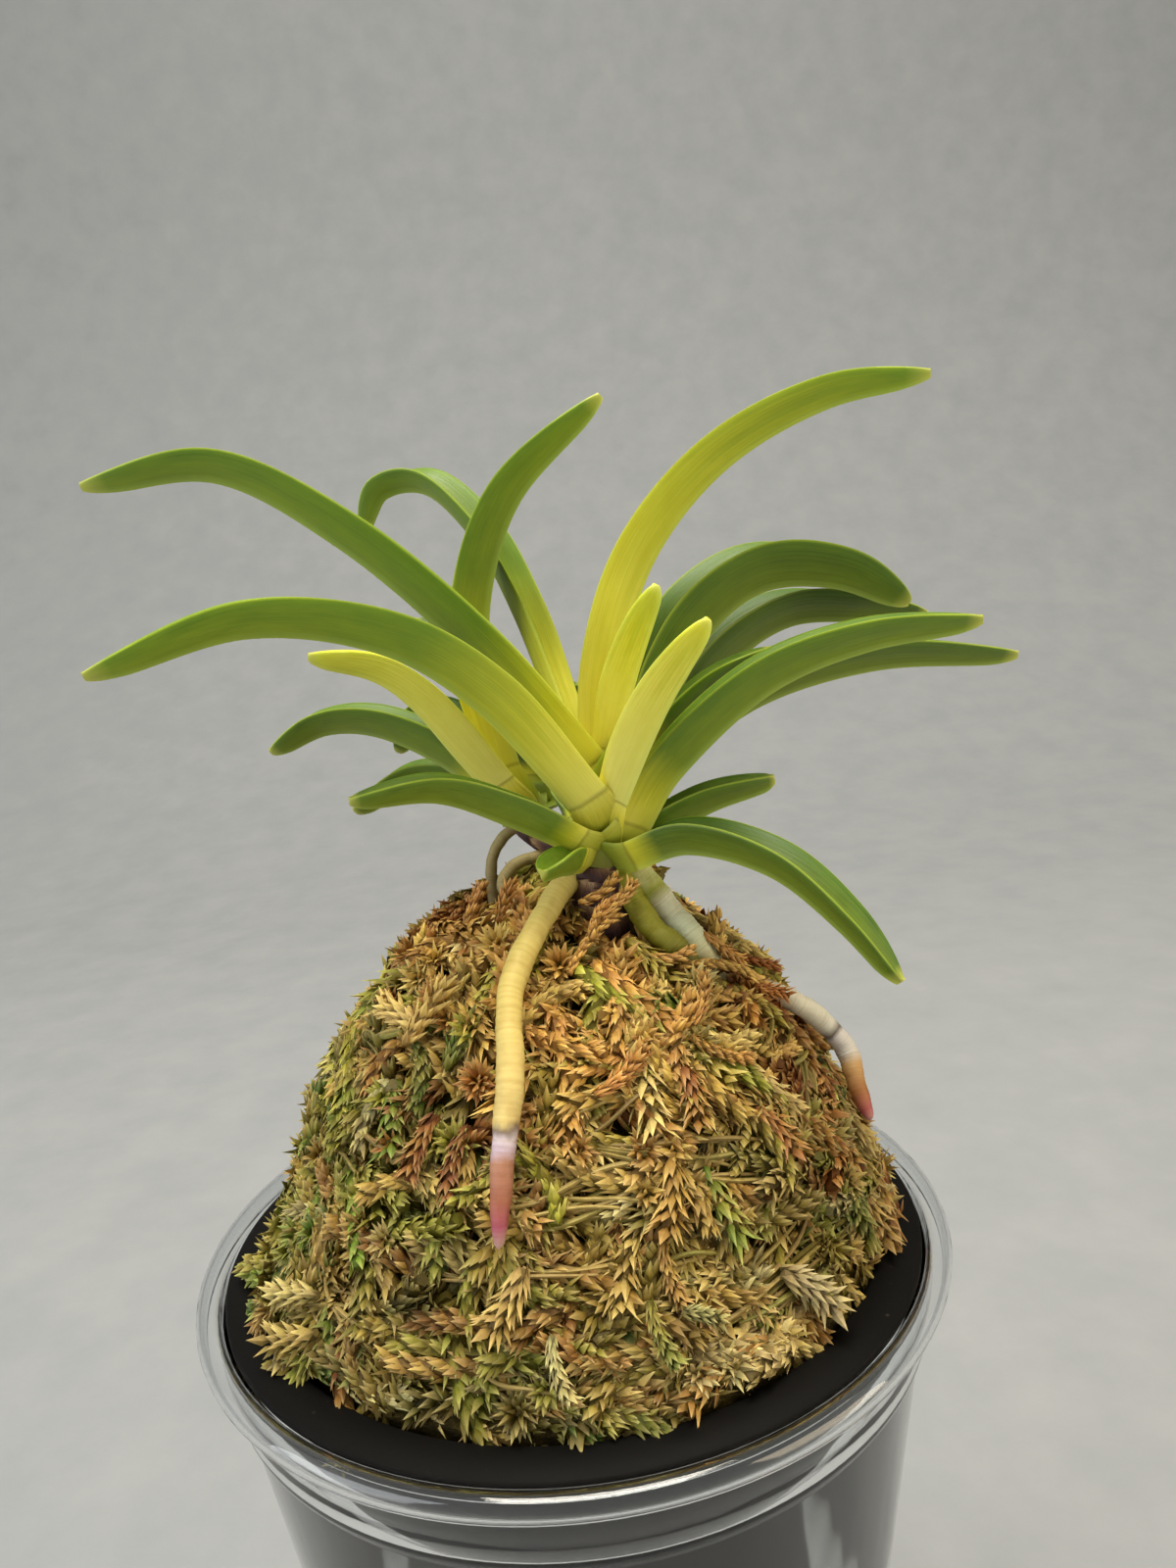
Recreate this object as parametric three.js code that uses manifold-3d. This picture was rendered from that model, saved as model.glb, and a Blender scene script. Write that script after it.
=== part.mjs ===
// A wind orchid in a clear tumbler. Two leafy fans of the orchid stand on a mound of sphagnum moss,
// which fills a black pot hung by its flange inside the tumbler. Thick aerial roots run over the moss.
// Millimetres, +Z up. The origin is the middle of the tumbler's flat base, and -Y is the front.

import * as THREE from "three";
import { mergeVertices } from "three/addons/utils/BufferGeometryUtils.js";
import Module from "manifold-3d";

const wasm = await Module();
wasm.setup();

// Driving dimensions

const CLEARANCE = 0.3; // between any two pieces that touch
const GRAZE = 0.05; // mm3 that a solid may lie within another's clearance
const GRIDS = [0.002, 0.004, 0.008, 0.016, 0.03]; // mm that a cut piece's corners are rounded to
const ROUND_SIDES = 40; // sides of the tumbler and the pot

const RIM_RADIUS = 49; // the tumbler has a 98 mm rim
const RIM_BEAD = 1.6; // radius of the rolled rim
const TUMBLER_HEIGHT = 108;
const TUMBLER_WALL = 0.8;
const BASE_RADIUS = 31;
const STEP_DEPTH = 10.6; // the stacking step lies this far under the top of the rim
const STEP_RADIUS = 45;

const FLANGE_TOP = 107.3;
const FLANGE_THICK = 1.2;
const FLANGE_RADIUS = 45.4;
const POT_MOUTH = 40.8;
const POT_WALL = 1;
const POT_DEPTH = 72;
const POT_BASE_RADIUS = 28;
const DRAIN_RADIUS = 3;
const DRAIN_CIRCLE = 16;
const DRAIN_COUNT = 4;

const MOSS_CENTRE = 2; // the mound leans this far to the right of the pot's axis
const MOSS_HALF_WIDTH = 37;
const MOSS_HALF_DEPTH = 34.5;
const MOSS_SKIRT = 4.5; // it spreads this much more where it lies on the flange
const MOSS_HEIGHT = 48; // above the flange
const MOSS_SQUARENESS = 1.12; // 1 makes the mound an ellipsoid, and more makes it a cone
const MOSS_SPRIGS = 78;
const SPRIG_ROOM = 1.2; // sprigs that come this near a root, by more than a touch, are left out
const SPRIG_TOUCH = 6; // mm3
const CORE_SIDES = 24;
const CORE_RINGS = 13;

const LEAF_KEEL = 1.5; // thickness of a blade along its keel
const LEAF_FLANK = 1.1; // and halfway to its margins

const SEATED = 7; // a sheath leaves the stem this far under its blade

// Colours and finish

const finish = (color, roughness, extra = {}) =>
  new THREE.MeshStandardMaterial({ color, roughness, metalness: 0, ...extra });
const CLEAR_PLASTIC = finish(0xe8ecee, 0.08, { transparent: true, opacity: 0.3 });
const BLACK_PLASTIC = finish(0x141413, 0.75);
const MOSS = finish(0xa98f52, 0.95);
const LEAF_GREEN = finish(0x5f8c28, 0.4);
const LEAF_YOUNG = finish(0xc6c53a, 0.4);
const SHEATH = finish(0xa9b83c, 0.45);
const STEM_FOOT = finish(0x5a4038, 0.7);
const ROOT_CREAM = finish(0xe9df9c, 0.7);
const ROOT_OLIVE = finish(0x8e8b35, 0.7);
const ROOT_DRY = finish(0xa99a6c, 0.85);

// Shared geometry

const rad = THREE.MathUtils.degToRad;
const smooth = THREE.MathUtils.smoothstep;
const vec = (x, y, z) => new THREE.Vector3(x, y, z);

// The fractional part of a multiple of an irrational step spreads values evenly with no pattern.
const scatter = (index, step) => (index * step) % 1;

function closed(geometry) {
  geometry.deleteAttribute("normal");
  geometry.deleteAttribute("uv");
  return mergeVertices(geometry);
}

function toSolid(geometry) {
  return new wasm.Manifold(
    new wasm.Mesh({
      numProp: 3,
      vertProperties: new Float32Array(geometry.getAttribute("position").array),
      triVerts: new Uint32Array(geometry.index.array),
    }),
  );
}

function toGeometry(solid) {
  const mesh = solid.getMesh();
  const geometry = new THREE.BufferGeometry();
  geometry.setAttribute("position", new THREE.BufferAttribute(mesh.vertProperties, 3));
  geometry.setIndex(new THREE.BufferAttribute(mesh.triVerts, 1));
  geometry.computeVertexNormals();
  return geometry;
}

// A surface is pinched where it meets itself along an edge, which then has four faces.
function pinched(solid) {
  const { vertProperties, triVerts } = solid.getMesh();
  const at = (i) => vertProperties.subarray(3 * i, 3 * i + 3).join();
  const faces = new Map();
  for (let i = 0; i < triVerts.length; i++) {
    const next = i % 3 === 2 ? i - 2 : i + 1;
    const edge = [at(triVerts[i]), at(triVerts[next])].sort().join();
    faces.set(edge, (faces.get(edge) ?? 0) + 1);
  }
  return [...faces.values()].some((count) => count !== 2);
}

// Rounds the vertices to a grid, so that no two nearly meet, and keeps the largest body, since a
// cut can leave loose scraps. The first grid that leaves no pinch is used.
function settled(solid) {
  const { vertProperties, triVerts } = solid.getMesh();
  const bodyOn = (grid) => {
    const snapped = new THREE.BufferGeometry();
    const places = vertProperties.map((part) => Math.round(part / grid) * grid);
    snapped.setAttribute("position", new THREE.BufferAttribute(places, 3));
    snapped.setIndex(new THREE.BufferAttribute(triVerts, 1));
    const bodies = toSolid(mergeVertices(snapped, grid / 2)).decompose();
    return bodies.reduce((a, b) => (a.volume() > b.volume() ? a : b));
  };
  for (const grid of GRIDS) {
    const body = bodyOn(grid);
    if (!pinched(body)) return body;
  }
  throw new Error("a cut piece is pinched on every grid");
}

// Cuts what stands in the way, where it is more than a graze, out of a solid.
function clearOf(solid, others) {
  const met = others.filter((other) => solid.intersect(other).volume() > GRAZE);
  return settled(met.reduce((rest, other) => rest.subtract(other), solid));
}

function join(solids) {
  return solids.reduce((a, b) => a.add(b));
}

// Carries a ring of points along a spine. The spine gives a point and an upright frame for a share
// of the length, and the section gives the ring's point k, across and up, or its middle for k = -1.
function sweep(spine, section, sides, steps) {
  const rod = closed(new THREE.CylinderGeometry(1, 1, 1, sides, steps));
  const place = rod.getAttribute("position");
  for (let i = 0; i < place.count; i++) {
    const [x, y, z] = [place.getX(i), place.getY(i), place.getZ(i)];
    const turn = Math.round((Math.atan2(x, z) / (2 * Math.PI)) * sides);
    const k = Math.hypot(x, z) < 0.5 ? -1 : (turn + sides) % sides;
    const share = y + 0.5;
    const { point, along, up } = spine(share);
    const across = along.clone().cross(up);
    const [a, b] = section(k, share);
    place.setXYZ(i, ...point.clone().addScaledVector(across, a).addScaledVector(up, b));
  }
  return toSolid(rod);
}

function lathe(profile, sides = ROUND_SIDES) {
  const points = profile.map(([r, z]) => new THREE.Vector2(r, z));
  const turned = closed(new THREE.LatheGeometry(points, sides));
  turned.rotateX(Math.PI / 2);
  return toSolid(turned);
}

// A frame along a smooth curve whose up side faces a fixed direction.
function curveSpine(points, facing) {
  const curve = new THREE.CatmullRomCurve3(points.map((p) => vec(...p)));
  return (share) => {
    const along = curve.getTangentAt(share);
    const up = facing.clone().addScaledVector(along, -facing.dot(along)).normalize();
    return { point: curve.getPointAt(share), along, up };
  };
}

const roundSection = (radius, sides) => (k, share) =>
  k < 0
    ? [0, 0]
    : [
        radius(share) * Math.sin((2 * Math.PI * k) / sides),
        radius(share) * Math.cos((2 * Math.PI * k) / sides),
      ];

// Tumbler: one thin wall turned from clear plastic, with a rolled rim and a stacking step

function tumbler() {
  const beadAt = RIM_RADIUS - RIM_BEAD;
  const beadHeight = TUMBLER_HEIGHT - RIM_BEAD;
  const bead = [-60, -10, 45, 90, 135, 180].map((turn) => [
    beadAt + RIM_BEAD * Math.cos(rad(turn)),
    beadHeight + RIM_BEAD * Math.sin(rad(turn)),
  ]);
  const stepHeight = TUMBLER_HEIGHT - STEP_DEPTH;
  const ledge = FLANGE_TOP - FLANGE_THICK - CLEARANCE;
  return lathe([
    [0, 0],
    [BASE_RADIUS - 1.5, 0],
    [BASE_RADIUS, 1.5],
    [STEP_RADIUS, stepHeight - 0.6],
    [STEP_RADIUS + 0.7, stepHeight],
    [STEP_RADIUS + 0.9, ledge - 1],
    ...bead,
    [beadAt - RIM_BEAD, ledge],
    [STEP_RADIUS + 0.7 - TUMBLER_WALL, ledge - 0.6],
    [STEP_RADIUS + 0.6 - TUMBLER_WALL, stepHeight + 0.4],
    [STEP_RADIUS - TUMBLER_WALL, stepHeight - 0.4],
    [BASE_RADIUS - TUMBLER_WALL, 2],
    [BASE_RADIUS - 1.5 - TUMBLER_WALL, 1],
    [0, 1],
  ]);
}

// Black pot: a tapered pot with a wide flat flange, and drain holes in its floor

function innerPot() {
  const floor = FLANGE_TOP - POT_DEPTH;
  const body = lathe([
    [0, floor],
    [POT_BASE_RADIUS, floor],
    [POT_MOUTH, FLANGE_TOP - FLANGE_THICK],
    [FLANGE_RADIUS, FLANGE_TOP - FLANGE_THICK],
    [FLANGE_RADIUS, FLANGE_TOP],
    [POT_MOUTH - POT_WALL + 0.8, FLANGE_TOP],
    [POT_MOUTH - POT_WALL, FLANGE_TOP - 0.8],
    [POT_BASE_RADIUS - POT_WALL, floor + 1.2],
    [0, floor + 1.2],
  ]);
  const drains = [vec(0, 0, floor)];
  for (let i = 0; i < DRAIN_COUNT; i++) {
    const turn = ((i + 0.5) / DRAIN_COUNT) * 2 * Math.PI;
    drains.push(vec(DRAIN_CIRCLE * Math.cos(turn), DRAIN_CIRCLE * Math.sin(turn), floor));
  }
  const holes = drains.map((at) => {
    const drill = closed(new THREE.CylinderGeometry(DRAIN_RADIUS, DRAIN_RADIUS, 6, 10));
    drill.rotateX(Math.PI / 2).translate(at.x, at.y, at.z);
    return toSolid(drill);
  });
  return body.subtract(join(holes));
}

// Leaves: thick channelled blades, folded along the keel, that arch out from a fan in two ranks.
// A leaf's path runs along the middle of its fold, from the joint with its sheath to its tip. Its
// width is that of the blade opened flat, and fold is the angle between the flanks at the joint.

const FRONT_LEAVES = [
  { name: "front_leaf_new_inner", width: 7, fold: 44, young: true,
    path: [[10.2, -6.8, 172.6], [12, -8.4, 179.6], [14.4, -9.8, 185.4], [17.3, -11, 191]] },
  { name: "front_leaf_new_outer", width: 8, fold: 44, young: true,
    path: [[10.3, -10, 167.4], [12.9, -12.6, 173.6], [16.6, -15.4, 180.2], [22, -18, 187.2]] },
  { name: "front_leaf_tall", width: 10, fold: 60,
    path: [[8.8, -4, 172], [10.1, -4, 182], [15.4, -4, 195], [25.3, -4.4, 205.1],
      [38, -5.6, 210.6], [50, -7, 211.4]] },
  { name: "front_leaf_left_high", width: 9,
    path: [[8.4, -7, 171], [-2.1, -9, 185.8], [-16, -11, 200.3], [-29.2, -12, 208.4],
      [-44, -12, 207.4]] },
  { name: "front_leaf_back_curl", width: 8,
    path: [[6.6, -1, 172.6], [1.4, 8, 189.6], [-3.4, 12, 199.8], [-10.3, 16, 206.6],
      [-16.4, 18, 206], [-19.6, 18.4, 200]] },
  { name: "front_leaf_right_high", width: 14,
    path: [[14.2, -4.4, 173.6], [17.6, -2, 181.2], [22.8, 0, 187.8], [31, 2.2, 191.8],
      [41, 3.7, 190.6], [50, 4.4, 185.4]] },
  { name: "front_leaf_right_mid", width: 10.5,
    path: [[14.8, -2.6, 171], [26.2, 5.4, 182.2], [35, 8.6, 186], [44, 10.4, 185.4],
      [54.4, 12, 183]] },
  { name: "front_leaf_right_short", width: 7,
    path: [[14.3, -6, 169.6], [17.5, -6, 174.2], [23.1, -6, 179], [30.5, -6, 182.2]] },
  { name: "front_leaf_left_low", width: 10,
    path: [[7.6, -10.4, 167.6], [-2, -15.6, 181.8], [-11.6, -18.8, 189.2], [-25.8, -22, 192.2],
      [-41.6, -26, 188]] },
  { name: "front_leaf_right_long", width: 9,
    path: [[12.1, -8.8, 163.8], [16.3, -10, 170.4], [28, -11.6, 180], [39.9, -12, 183.6],
      [53.4, -12, 184]] },
  { name: "front_leaf_right_back", width: 8.5,
    path: [[14, -4.6, 166.2], [20.1, -1.6, 172.2], [29.1, 0, 177.2], [45, 3, 179.6], [64, 6, 177.4]] },
  { name: "front_leaf_left_short", width: 7,
    path: [[6, -9.8, 162.6], [-1, -13, 167.6], [-9, -15.6, 171.4], [-18.6, -18, 171.2]] },
  { name: "front_leaf_stub_back", width: 5,
    path: [[5.6, -4.6, 163.4], [4.8, -2.6, 165], [3.4, -0.6, 168.2]] },
  { name: "front_leaf_right_low", width: 6.5,
    path: [[12.2, -7.9, 161.3], [15.2, -8, 163], [21.3, -8, 165.7], [29.6, -8, 167.2]] },
  { name: "front_leaf_drooping", width: 7.5,
    path: [[11.9, -9.5, 160.2], [18.4, -12, 162.4], [27.8, -18.4, 160.2], [34.5, -23, 154],
      [39.2, -25.2, 147.2]] },
  { name: "front_leaf_bottom_stub", width: 6,
    path: [[5.8, -9.8, 160.2], [4, -12.8, 160.9], [1.4, -16, 160.4]] },
];

const BACK_LEAVES = [
  { name: "back_leaf_tall", width: 9, fold: 60,
    path: [[-3.2, 6.2, 169], [-5.5, 5.4, 181.6], [-4.3, 4.2, 192], [1, 2.8, 203.2],
      [13.3, 1, 213.2]] },
  { name: "back_leaf_young", width: 8, young: true,
    path: [[-3.4, 3.6, 167.6], [-11.7, 0, 180.4], [-16.5, -1, 184.2], [-24.4, -2, 186.2]] },
  { name: "back_leaf_upright", width: 8,
    path: [[-0.8, 9.8, 166.6], [-1, 11.2, 169.7], [1.2, 12.2, 173.8], [4.8, 12.4, 176.8],
      [8, 12.4, 177.8]] },
  { name: "back_leaf_left_top", width: 8.5,
    path: [[2.8, 10, 164.4], [1.1, 13.4, 168.4], [-4.7, 19, 178], [-9.6, 21.6, 185.2],
      [-15.2, 24, 188]] },
  { name: "back_leaf_left_mid", width: 8.5,
    path: [[-4, 6.4, 166.4], [-11, 7, 172.6], [-19.4, 8, 176.6], [-26.5, 8.8, 176.8],
      [-33.6, 9, 173.4]] },
  { name: "back_leaf_left_rear", width: 7.5,
    path: [[-2.8, 13.6, 168], [-8.5, 17.6, 173.8], [-14, 20, 175.7], [-19.2, 22, 169.8]] },
  { name: "back_leaf_left_low", width: 8,
    path: [[-2.8, 8.8, 164.8], [-9.2, 10.4, 167.4], [-16, 12, 168], [-24.4, 12.2, 163.8]] },
];

// The blade's fold stands upright: its sides lie level, square to the way that the leaf heads.
function bladeSpine(leaf) {
  const curve = new THREE.CatmullRomCurve3(leaf.path.map((p) => vec(...p)));
  const heads = vec(...leaf.path.at(-1)).sub(vec(...leaf.path[0]));
  const side = vec(heads.y, -heads.x, 0).normalize();
  return (share) => {
    const along = curve.getTangentAt(share);
    return { point: curve.getPointAt(share), along, up: side.clone().cross(along).normalize() };
  };
}

// Half of the fold's angle, and the width of a flank, a share of the way to the tip.
function bladeShape({ fold = 52, width }, share) {
  const opened = THREE.MathUtils.lerp(fold, 96, smooth(share, 0, 0.9));
  const swell = 0.86 + 0.14 * smooth(share, 0, 0.3);
  const taper = Math.max(0, 1 - (0.99 * share) ** 5) ** 0.6;
  return { half: rad(opened / 2), flank: (width / 2) * swell * taper };
}

// The V of a blade: point 0 is the channel's bottom, 1 and 5 the margins and 3 the keel.
function bladeSection(leaf, grow) {
  return (k, share) => {
    const { half, flank } = bladeShape(leaf, share);
    const [out, rise] = [Math.sin(half), Math.cos(half)];
    const thin = 0.5 + 0.5 * Math.min(1, (4 * flank) / leaf.width);
    const skin = (LEAF_FLANK * thin) / 2;
    const reach = flank + 2 * grow;
    const ring = [
      [0, (skin + grow) / out],
      [reach * out, reach * rise],
      [0.5 * flank * out + (skin + grow) * rise, 0.5 * flank * rise - (skin + grow) * out],
      [0, -(LEAF_KEEL - LEAF_FLANK / 2) * thin - grow / out],
    ];
    if (k < 0) return [0, -0.5 * flank * rise];
    const [a, b] = ring[k > 3 ? 6 - k : k];
    return [k > 3 ? -a : a, b - 0.5 * flank * rise];
  };
}

function blade(leaf, grow = 0) {
  const { length } = leaf.path;
  return sweep(bladeSpine(leaf), bladeSection(leaf, grow), 6, 2 * length);
}

// Fans: the sheaths of the leaves clasp the short stem, one over the other

// A stem's sheathed part runs from head to foot, and its foot goes on through the rooted points.
const FRONT_STEM = {
  radius: 3, head: [10.2, -6.4, 170], foot: [8.2, -6.4, 158.4],
  rooted: [[8, -6.4, 154], [7.8, -6.2, 149.6]],
};
const BACK_STEM = {
  radius: 2.3, head: [-2.6, 7.4, 167.6], foot: [-0.8, 5.6, 161.6],
  rooted: [[4.2, 2.8, 158.4], [7.2, 1, 153]],
};

function stemPoint(stem, share) {
  return vec(...stem.foot).lerp(vec(...stem.head), share);
}

function sheath(stem, leaf, grow) {
  const { point, along, up } = bladeSpine(leaf)(0);
  const axis = stemPoint(stem, 1).sub(stemPoint(stem, 0));
  const reach = (point.z - SEATED - stem.foot[2]) / axis.z;
  const low = stemPoint(stem, THREE.MathUtils.clamp(reach, 0.05, 0.9));
  const end = point.clone().addScaledVector(along, grow - CLEARANCE);
  const curve = new THREE.CubicBezierCurve3(
    low,
    low.clone().addScaledVector(axis.normalize(), SEATED * 0.4),
    end.clone().addScaledVector(along, -SEATED * 0.35),
    end,
  );
  const spine = (share) => {
    const tangent = curve.getTangent(share);
    const across = tangent.clone().cross(up).normalize();
    return { point: curve.getPoint(share), along: tangent, up: across.cross(tangent).normalize() };
  };
  const section = bladeSection(leaf, 0.15 + grow);
  const wedge = [0, 1, 3, 5]; // the corners of the V, without the points between them
  return sweep(spine, (k) => section(k < 0 ? k : wedge[k], 0), 4, 2);
}

function sheathedStem(stem, leaves, grow = 0) {
  const shares = [-0.05, 0.5, 1]; // it starts a little low, and its foot trims it
  const core = sweep(
    curveSpine(shares.map((share) => stemPoint(stem, share).toArray()), vec(0, -1, 0)),
    roundSection((share) => stem.radius * (1 - 0.35 * share) + grow, 7),
    7,
    2,
  );
  return join([core, ...leaves.map((leaf) => sheath(stem, leaf, grow))]);
}

// Stem feet: the oldest part of each stem, wrapped in dry brown sheaths, stands in the moss

function stemFoot(stem, grow = 0) {
  const [middle, bottom] = stem.rooted.map((p) => vec(...p));
  const top = vec(...stem.foot);
  top.addScaledVector(top.clone().sub(middle).normalize(), grow - CLEARANCE);
  const path = [top, middle, bottom].map((p) => p.toArray());
  const bulge = (share) => stem.radius * (0.75 + 0.42 * Math.sin(Math.PI * (0.25 + 0.5 * share)));
  return sweep(
    curveSpine(path, vec(0, -1, 0)),
    roundSection((share) => bulge(share) + grow, 8),
    8,
    4,
  );
}

// Roots: each follows the points where it lies, at its real thickness, and tapers to its tip

const ROOTS = [
  { name: "root_front", material: ROOT_CREAM, radius: 1.5, tip: 0.12,
    path: [[5, -5.6, 157.4], [1.7, -11, 154.8], [-3, -20.4, 148.8], [-3.6, -27.4, 141.4],
      [-5, -32.2, 134], [-6, -35.6, 126.6]] },
  { name: "root_right", material: ROOT_CREAM, radius: 1.8, tip: 0.9,
    path: [[11, -6, 159.4], [13.7, -6.8, 155], [16.2, -7.6, 151.2], [18.6, -9.2, 148],
      [21, -8.6, 142.6]] },
  { name: "root_olive", material: ROOT_OLIVE, radius: 1.5, tip: 0.9,
    path: [[10.4, -7.2, 156.6], [13.6, -10.2, 150.8], [16.2, -11.4, 148.4], [19, -11, 143.6]] },
  { name: "root_far_right", material: ROOT_CREAM, radius: 1.35, tip: 0.2,
    path: [[27, -5, 139.6], [30.8, -7, 138.2], [34.2, -6, 134.8], [36.8, -6.4, 131],
      [37.2, -9.4, 127.8], [38, -12.4, 124.4]] },
  { name: "root_dry_left", material: ROOT_DRY, radius: 0.75, tip: 0.8,
    path: [[0.6, 6, 159.6], [-2.6, 5.8, 160.6], [-5.6, 5, 157.6], [-6.2, 4.2, 149]] },
  { name: "root_dry_loop", material: ROOT_DRY, radius: 0.8, tip: 0.8,
    path: [[2, 3.6, 157.4], [-2.6, 1.4, 157], [-4.4, -0.4, 154.8], [-1.4, -2, 152.4],
      [1.6, -2.2, 148.6]] },
];

function root({ path, radius, tip }, grow = 0) {
  const thick = (share) => {
    const taper = THREE.MathUtils.lerp(1, tip, smooth(share, 0.86, 1) ** 2);
    return radius * taper * (1 + 0.04 * Math.sin(share * 23)) + grow;
  };
  const sides = radius < 1 ? 5 : 7;
  const steps = path.length * 2;
  return sweep(curveSpine(path, vec(0, -0.94, 0.34)), roundSection(thick, sides), sides, steps);
}

// Moss: a packed plug in the pot under a high mound, whose surface is laid with leafy sprigs

function mossRise(turn, climb) {
  const lumps =
    1.1 * Math.sin(3 * turn + 0.7) * Math.sin(4 * climb + 0.4) +
    0.8 * Math.sin(5 * turn + 2.1) * Math.sin(7 * climb + 1.3);
  return lumps * Math.cos(climb) + MOSS_SKIRT * (1 - Math.sin(climb)) ** 4;
}

// A point on the mound: turn is its compass angle, and climb goes from 0 at the pot to 90 on top.
function mossPoint(turn, climb) {
  const out = Math.cos(climb) ** MOSS_SQUARENESS;
  const height = Math.sin(climb) ** MOSS_SQUARENESS * MOSS_HEIGHT;
  const rise = mossRise(turn, climb);
  return vec(
    MOSS_CENTRE * smooth(climb, 0, 0.5) + (MOSS_HALF_WIDTH * out + rise) * Math.cos(turn),
    (MOSS_HALF_DEPTH * out + rise) * Math.sin(turn),
    FLANGE_TOP + CLEARANCE + height,
  );
}

function mossFrame(turn, climb) {
  const point = mossPoint(turn, climb);
  const round = mossPoint(turn + 0.02, climb).sub(point).normalize();
  const uphill = mossPoint(turn, climb + 0.02).sub(point).normalize();
  return { point, round, uphill, normal: round.clone().cross(uphill).normalize() };
}

function mossCore() {
  const floor = FLANGE_TOP - POT_DEPTH + 1.2 + CLEARANCE;
  const loose = POT_WALL + CLEARANCE + 0.1;
  const plug = [
    [POT_BASE_RADIUS - loose, floor],
    [POT_MOUTH - loose, FLANGE_TOP - 1],
    [POT_MOUTH - loose, FLANGE_TOP + CLEARANCE],
  ];
  const body = closed(new THREE.CylinderGeometry(1, 1, 1, CORE_SIDES, CORE_RINGS));
  const place = body.getAttribute("position");
  for (let i = 0; i < place.count; i++) {
    const [x, y, z] = [place.getX(i), place.getY(i), place.getZ(i)];
    const ring = Math.round((y + 0.5) * CORE_RINGS);
    const turn = Math.atan2(-z, x);
    const middle = Math.hypot(x, z) < 0.5;
    if (ring < plug.length) {
      const [radius, height] = plug[ring];
      const out = middle ? 0 : radius;
      place.setXYZ(i, out * Math.cos(turn), out * Math.sin(turn), height);
    } else {
      const share = (ring - plug.length) / (CORE_RINGS - plug.length);
      const climb = middle ? Math.PI / 2 : rad(86 * share);
      place.setXYZ(i, ...mossPoint(turn, climb));
    }
  }
  return toSolid(body);
}

// One sprig lies on the mound, its foot sunk in and its tip standing out, scaly like a catkin.
function sprig(index) {
  const turn = 2 * Math.PI * scatter(index, 0.6180339887);
  const climb = rad(4 + 82 * ((index + 0.5) / MOSS_SPRIGS) ** 1.15);
  const { point, round, uphill, normal } = mossFrame(turn, climb);
  const slant = (scatter(index, 0.7548776662) - 0.5) * Math.PI * (0.5 + climb);
  const way = scatter(index, 0.5698402910) < 0.5 ? -1 : 1;
  const along = round.clone().multiplyScalar(way * Math.cos(slant));
  along.addScaledVector(uphill, -Math.abs(Math.sin(slant)));
  const length = 14 + 6 * scatter(index, 0.4142135624);
  const width = 2.5 + 0.8 * scatter(index, 0.7320508076);
  const lift = -0.6 + 1.1 * scatter(index, 0.2360679775);
  const spine = (share) => ({
    point: point
      .clone()
      .addScaledVector(along, (share - 0.5) * length)
      .addScaledVector(normal, lift - 1.4 * (1 - share) + 1.6 * share * share),
    along,
    up: normal,
  });
  const STEPS = 5;
  const ridge = [[0, 1.1], [1, -0.5], [-1, -0.5]];
  const section = (k, share) => {
    const scale = Math.round(share * STEPS) % 2 ? 1 : 0.66;
    const thick = share > 0.99 ? 0.25 : scale;
    return k < 0 ? [0, 0] : ridge[k].map((part) => part * thick * width);
  };
  return sweep(spine, section, 3, STEPS);
}

// Assembly

const group = new THREE.Group();
const node = (name, solid, material) => {
  const mesh = new THREE.Mesh(toGeometry(solid), material);
  mesh.name = name;
  group.add(mesh);
};

node("tumbler", tumbler(), CLEAR_PLASTIC);
node("inner_pot", innerPot(), BLACK_PLASTIC);

const fans = [
  { name: "front", stem: FRONT_STEM, leaves: FRONT_LEAVES },
  { name: "back", stem: BACK_STEM, leaves: BACK_LEAVES },
];
const inTheWay = [];
for (const { name, stem, leaves } of fans) {
  node(name + "_stem_foot", stemFoot(stem), STEM_FOOT);
  inTheWay.push(stemFoot(stem, CLEARANCE));
  node(name + "_stem", clearOf(sheathedStem(stem, leaves), inTheWay), SHEATH);
  inTheWay.push(sheathedStem(stem, leaves, CLEARANCE));
}

// The younger, inner blades keep their shape, and an older one is hollowed to clear them.
for (const leaf of [...FRONT_LEAVES, ...BACK_LEAVES]) {
  node(leaf.name, clearOf(blade(leaf), inTheWay), leaf.young ? LEAF_YOUNG : LEAF_GREEN);
  inTheWay.push(blade(leaf, CLEARANCE));
}

for (const spec of ROOTS) {
  node(spec.name, clearOf(root(spec), inTheWay), spec.material);
  inTheWay.push(root(spec, CLEARANCE));
}

const sprigs = Array.from({ length: MOSS_SPRIGS }, (_, index) => sprig(index));
const roots = join(ROOTS.map((spec) => root(spec, SPRIG_ROOM)));
const beside = sprigs.filter((one) => one.intersect(roots).volume() < SPRIG_TOUCH);
const moss = join([mossCore(), ...beside]);
const flange = lathe([
  [POT_MOUTH - POT_WALL - 0.3, FLANGE_TOP - 3],
  [RIM_RADIUS + 4, FLANGE_TOP - 3],
  [RIM_RADIUS + 4, TUMBLER_HEIGHT + CLEARANCE],
  [FLANGE_RADIUS, FLANGE_TOP + CLEARANCE],
  [POT_MOUTH - POT_WALL - 0.3, FLANGE_TOP + CLEARANCE],
  [POT_MOUTH - POT_WALL - 0.3, FLANGE_TOP - 3],
]);
node("moss_mound", clearOf(moss, [flange, ...inTheWay]), MOSS);

export default group;
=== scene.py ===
# A wind orchid in a clear tumbler: two leafy fans stand on a mound of sphagnum moss in a black pot.
# Metres, +Z up. The origin is the middle of the tumbler's flat base, and -Y is the front.

import math
import random

import bmesh
import bpy
from mathutils import Matrix, Vector


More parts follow.
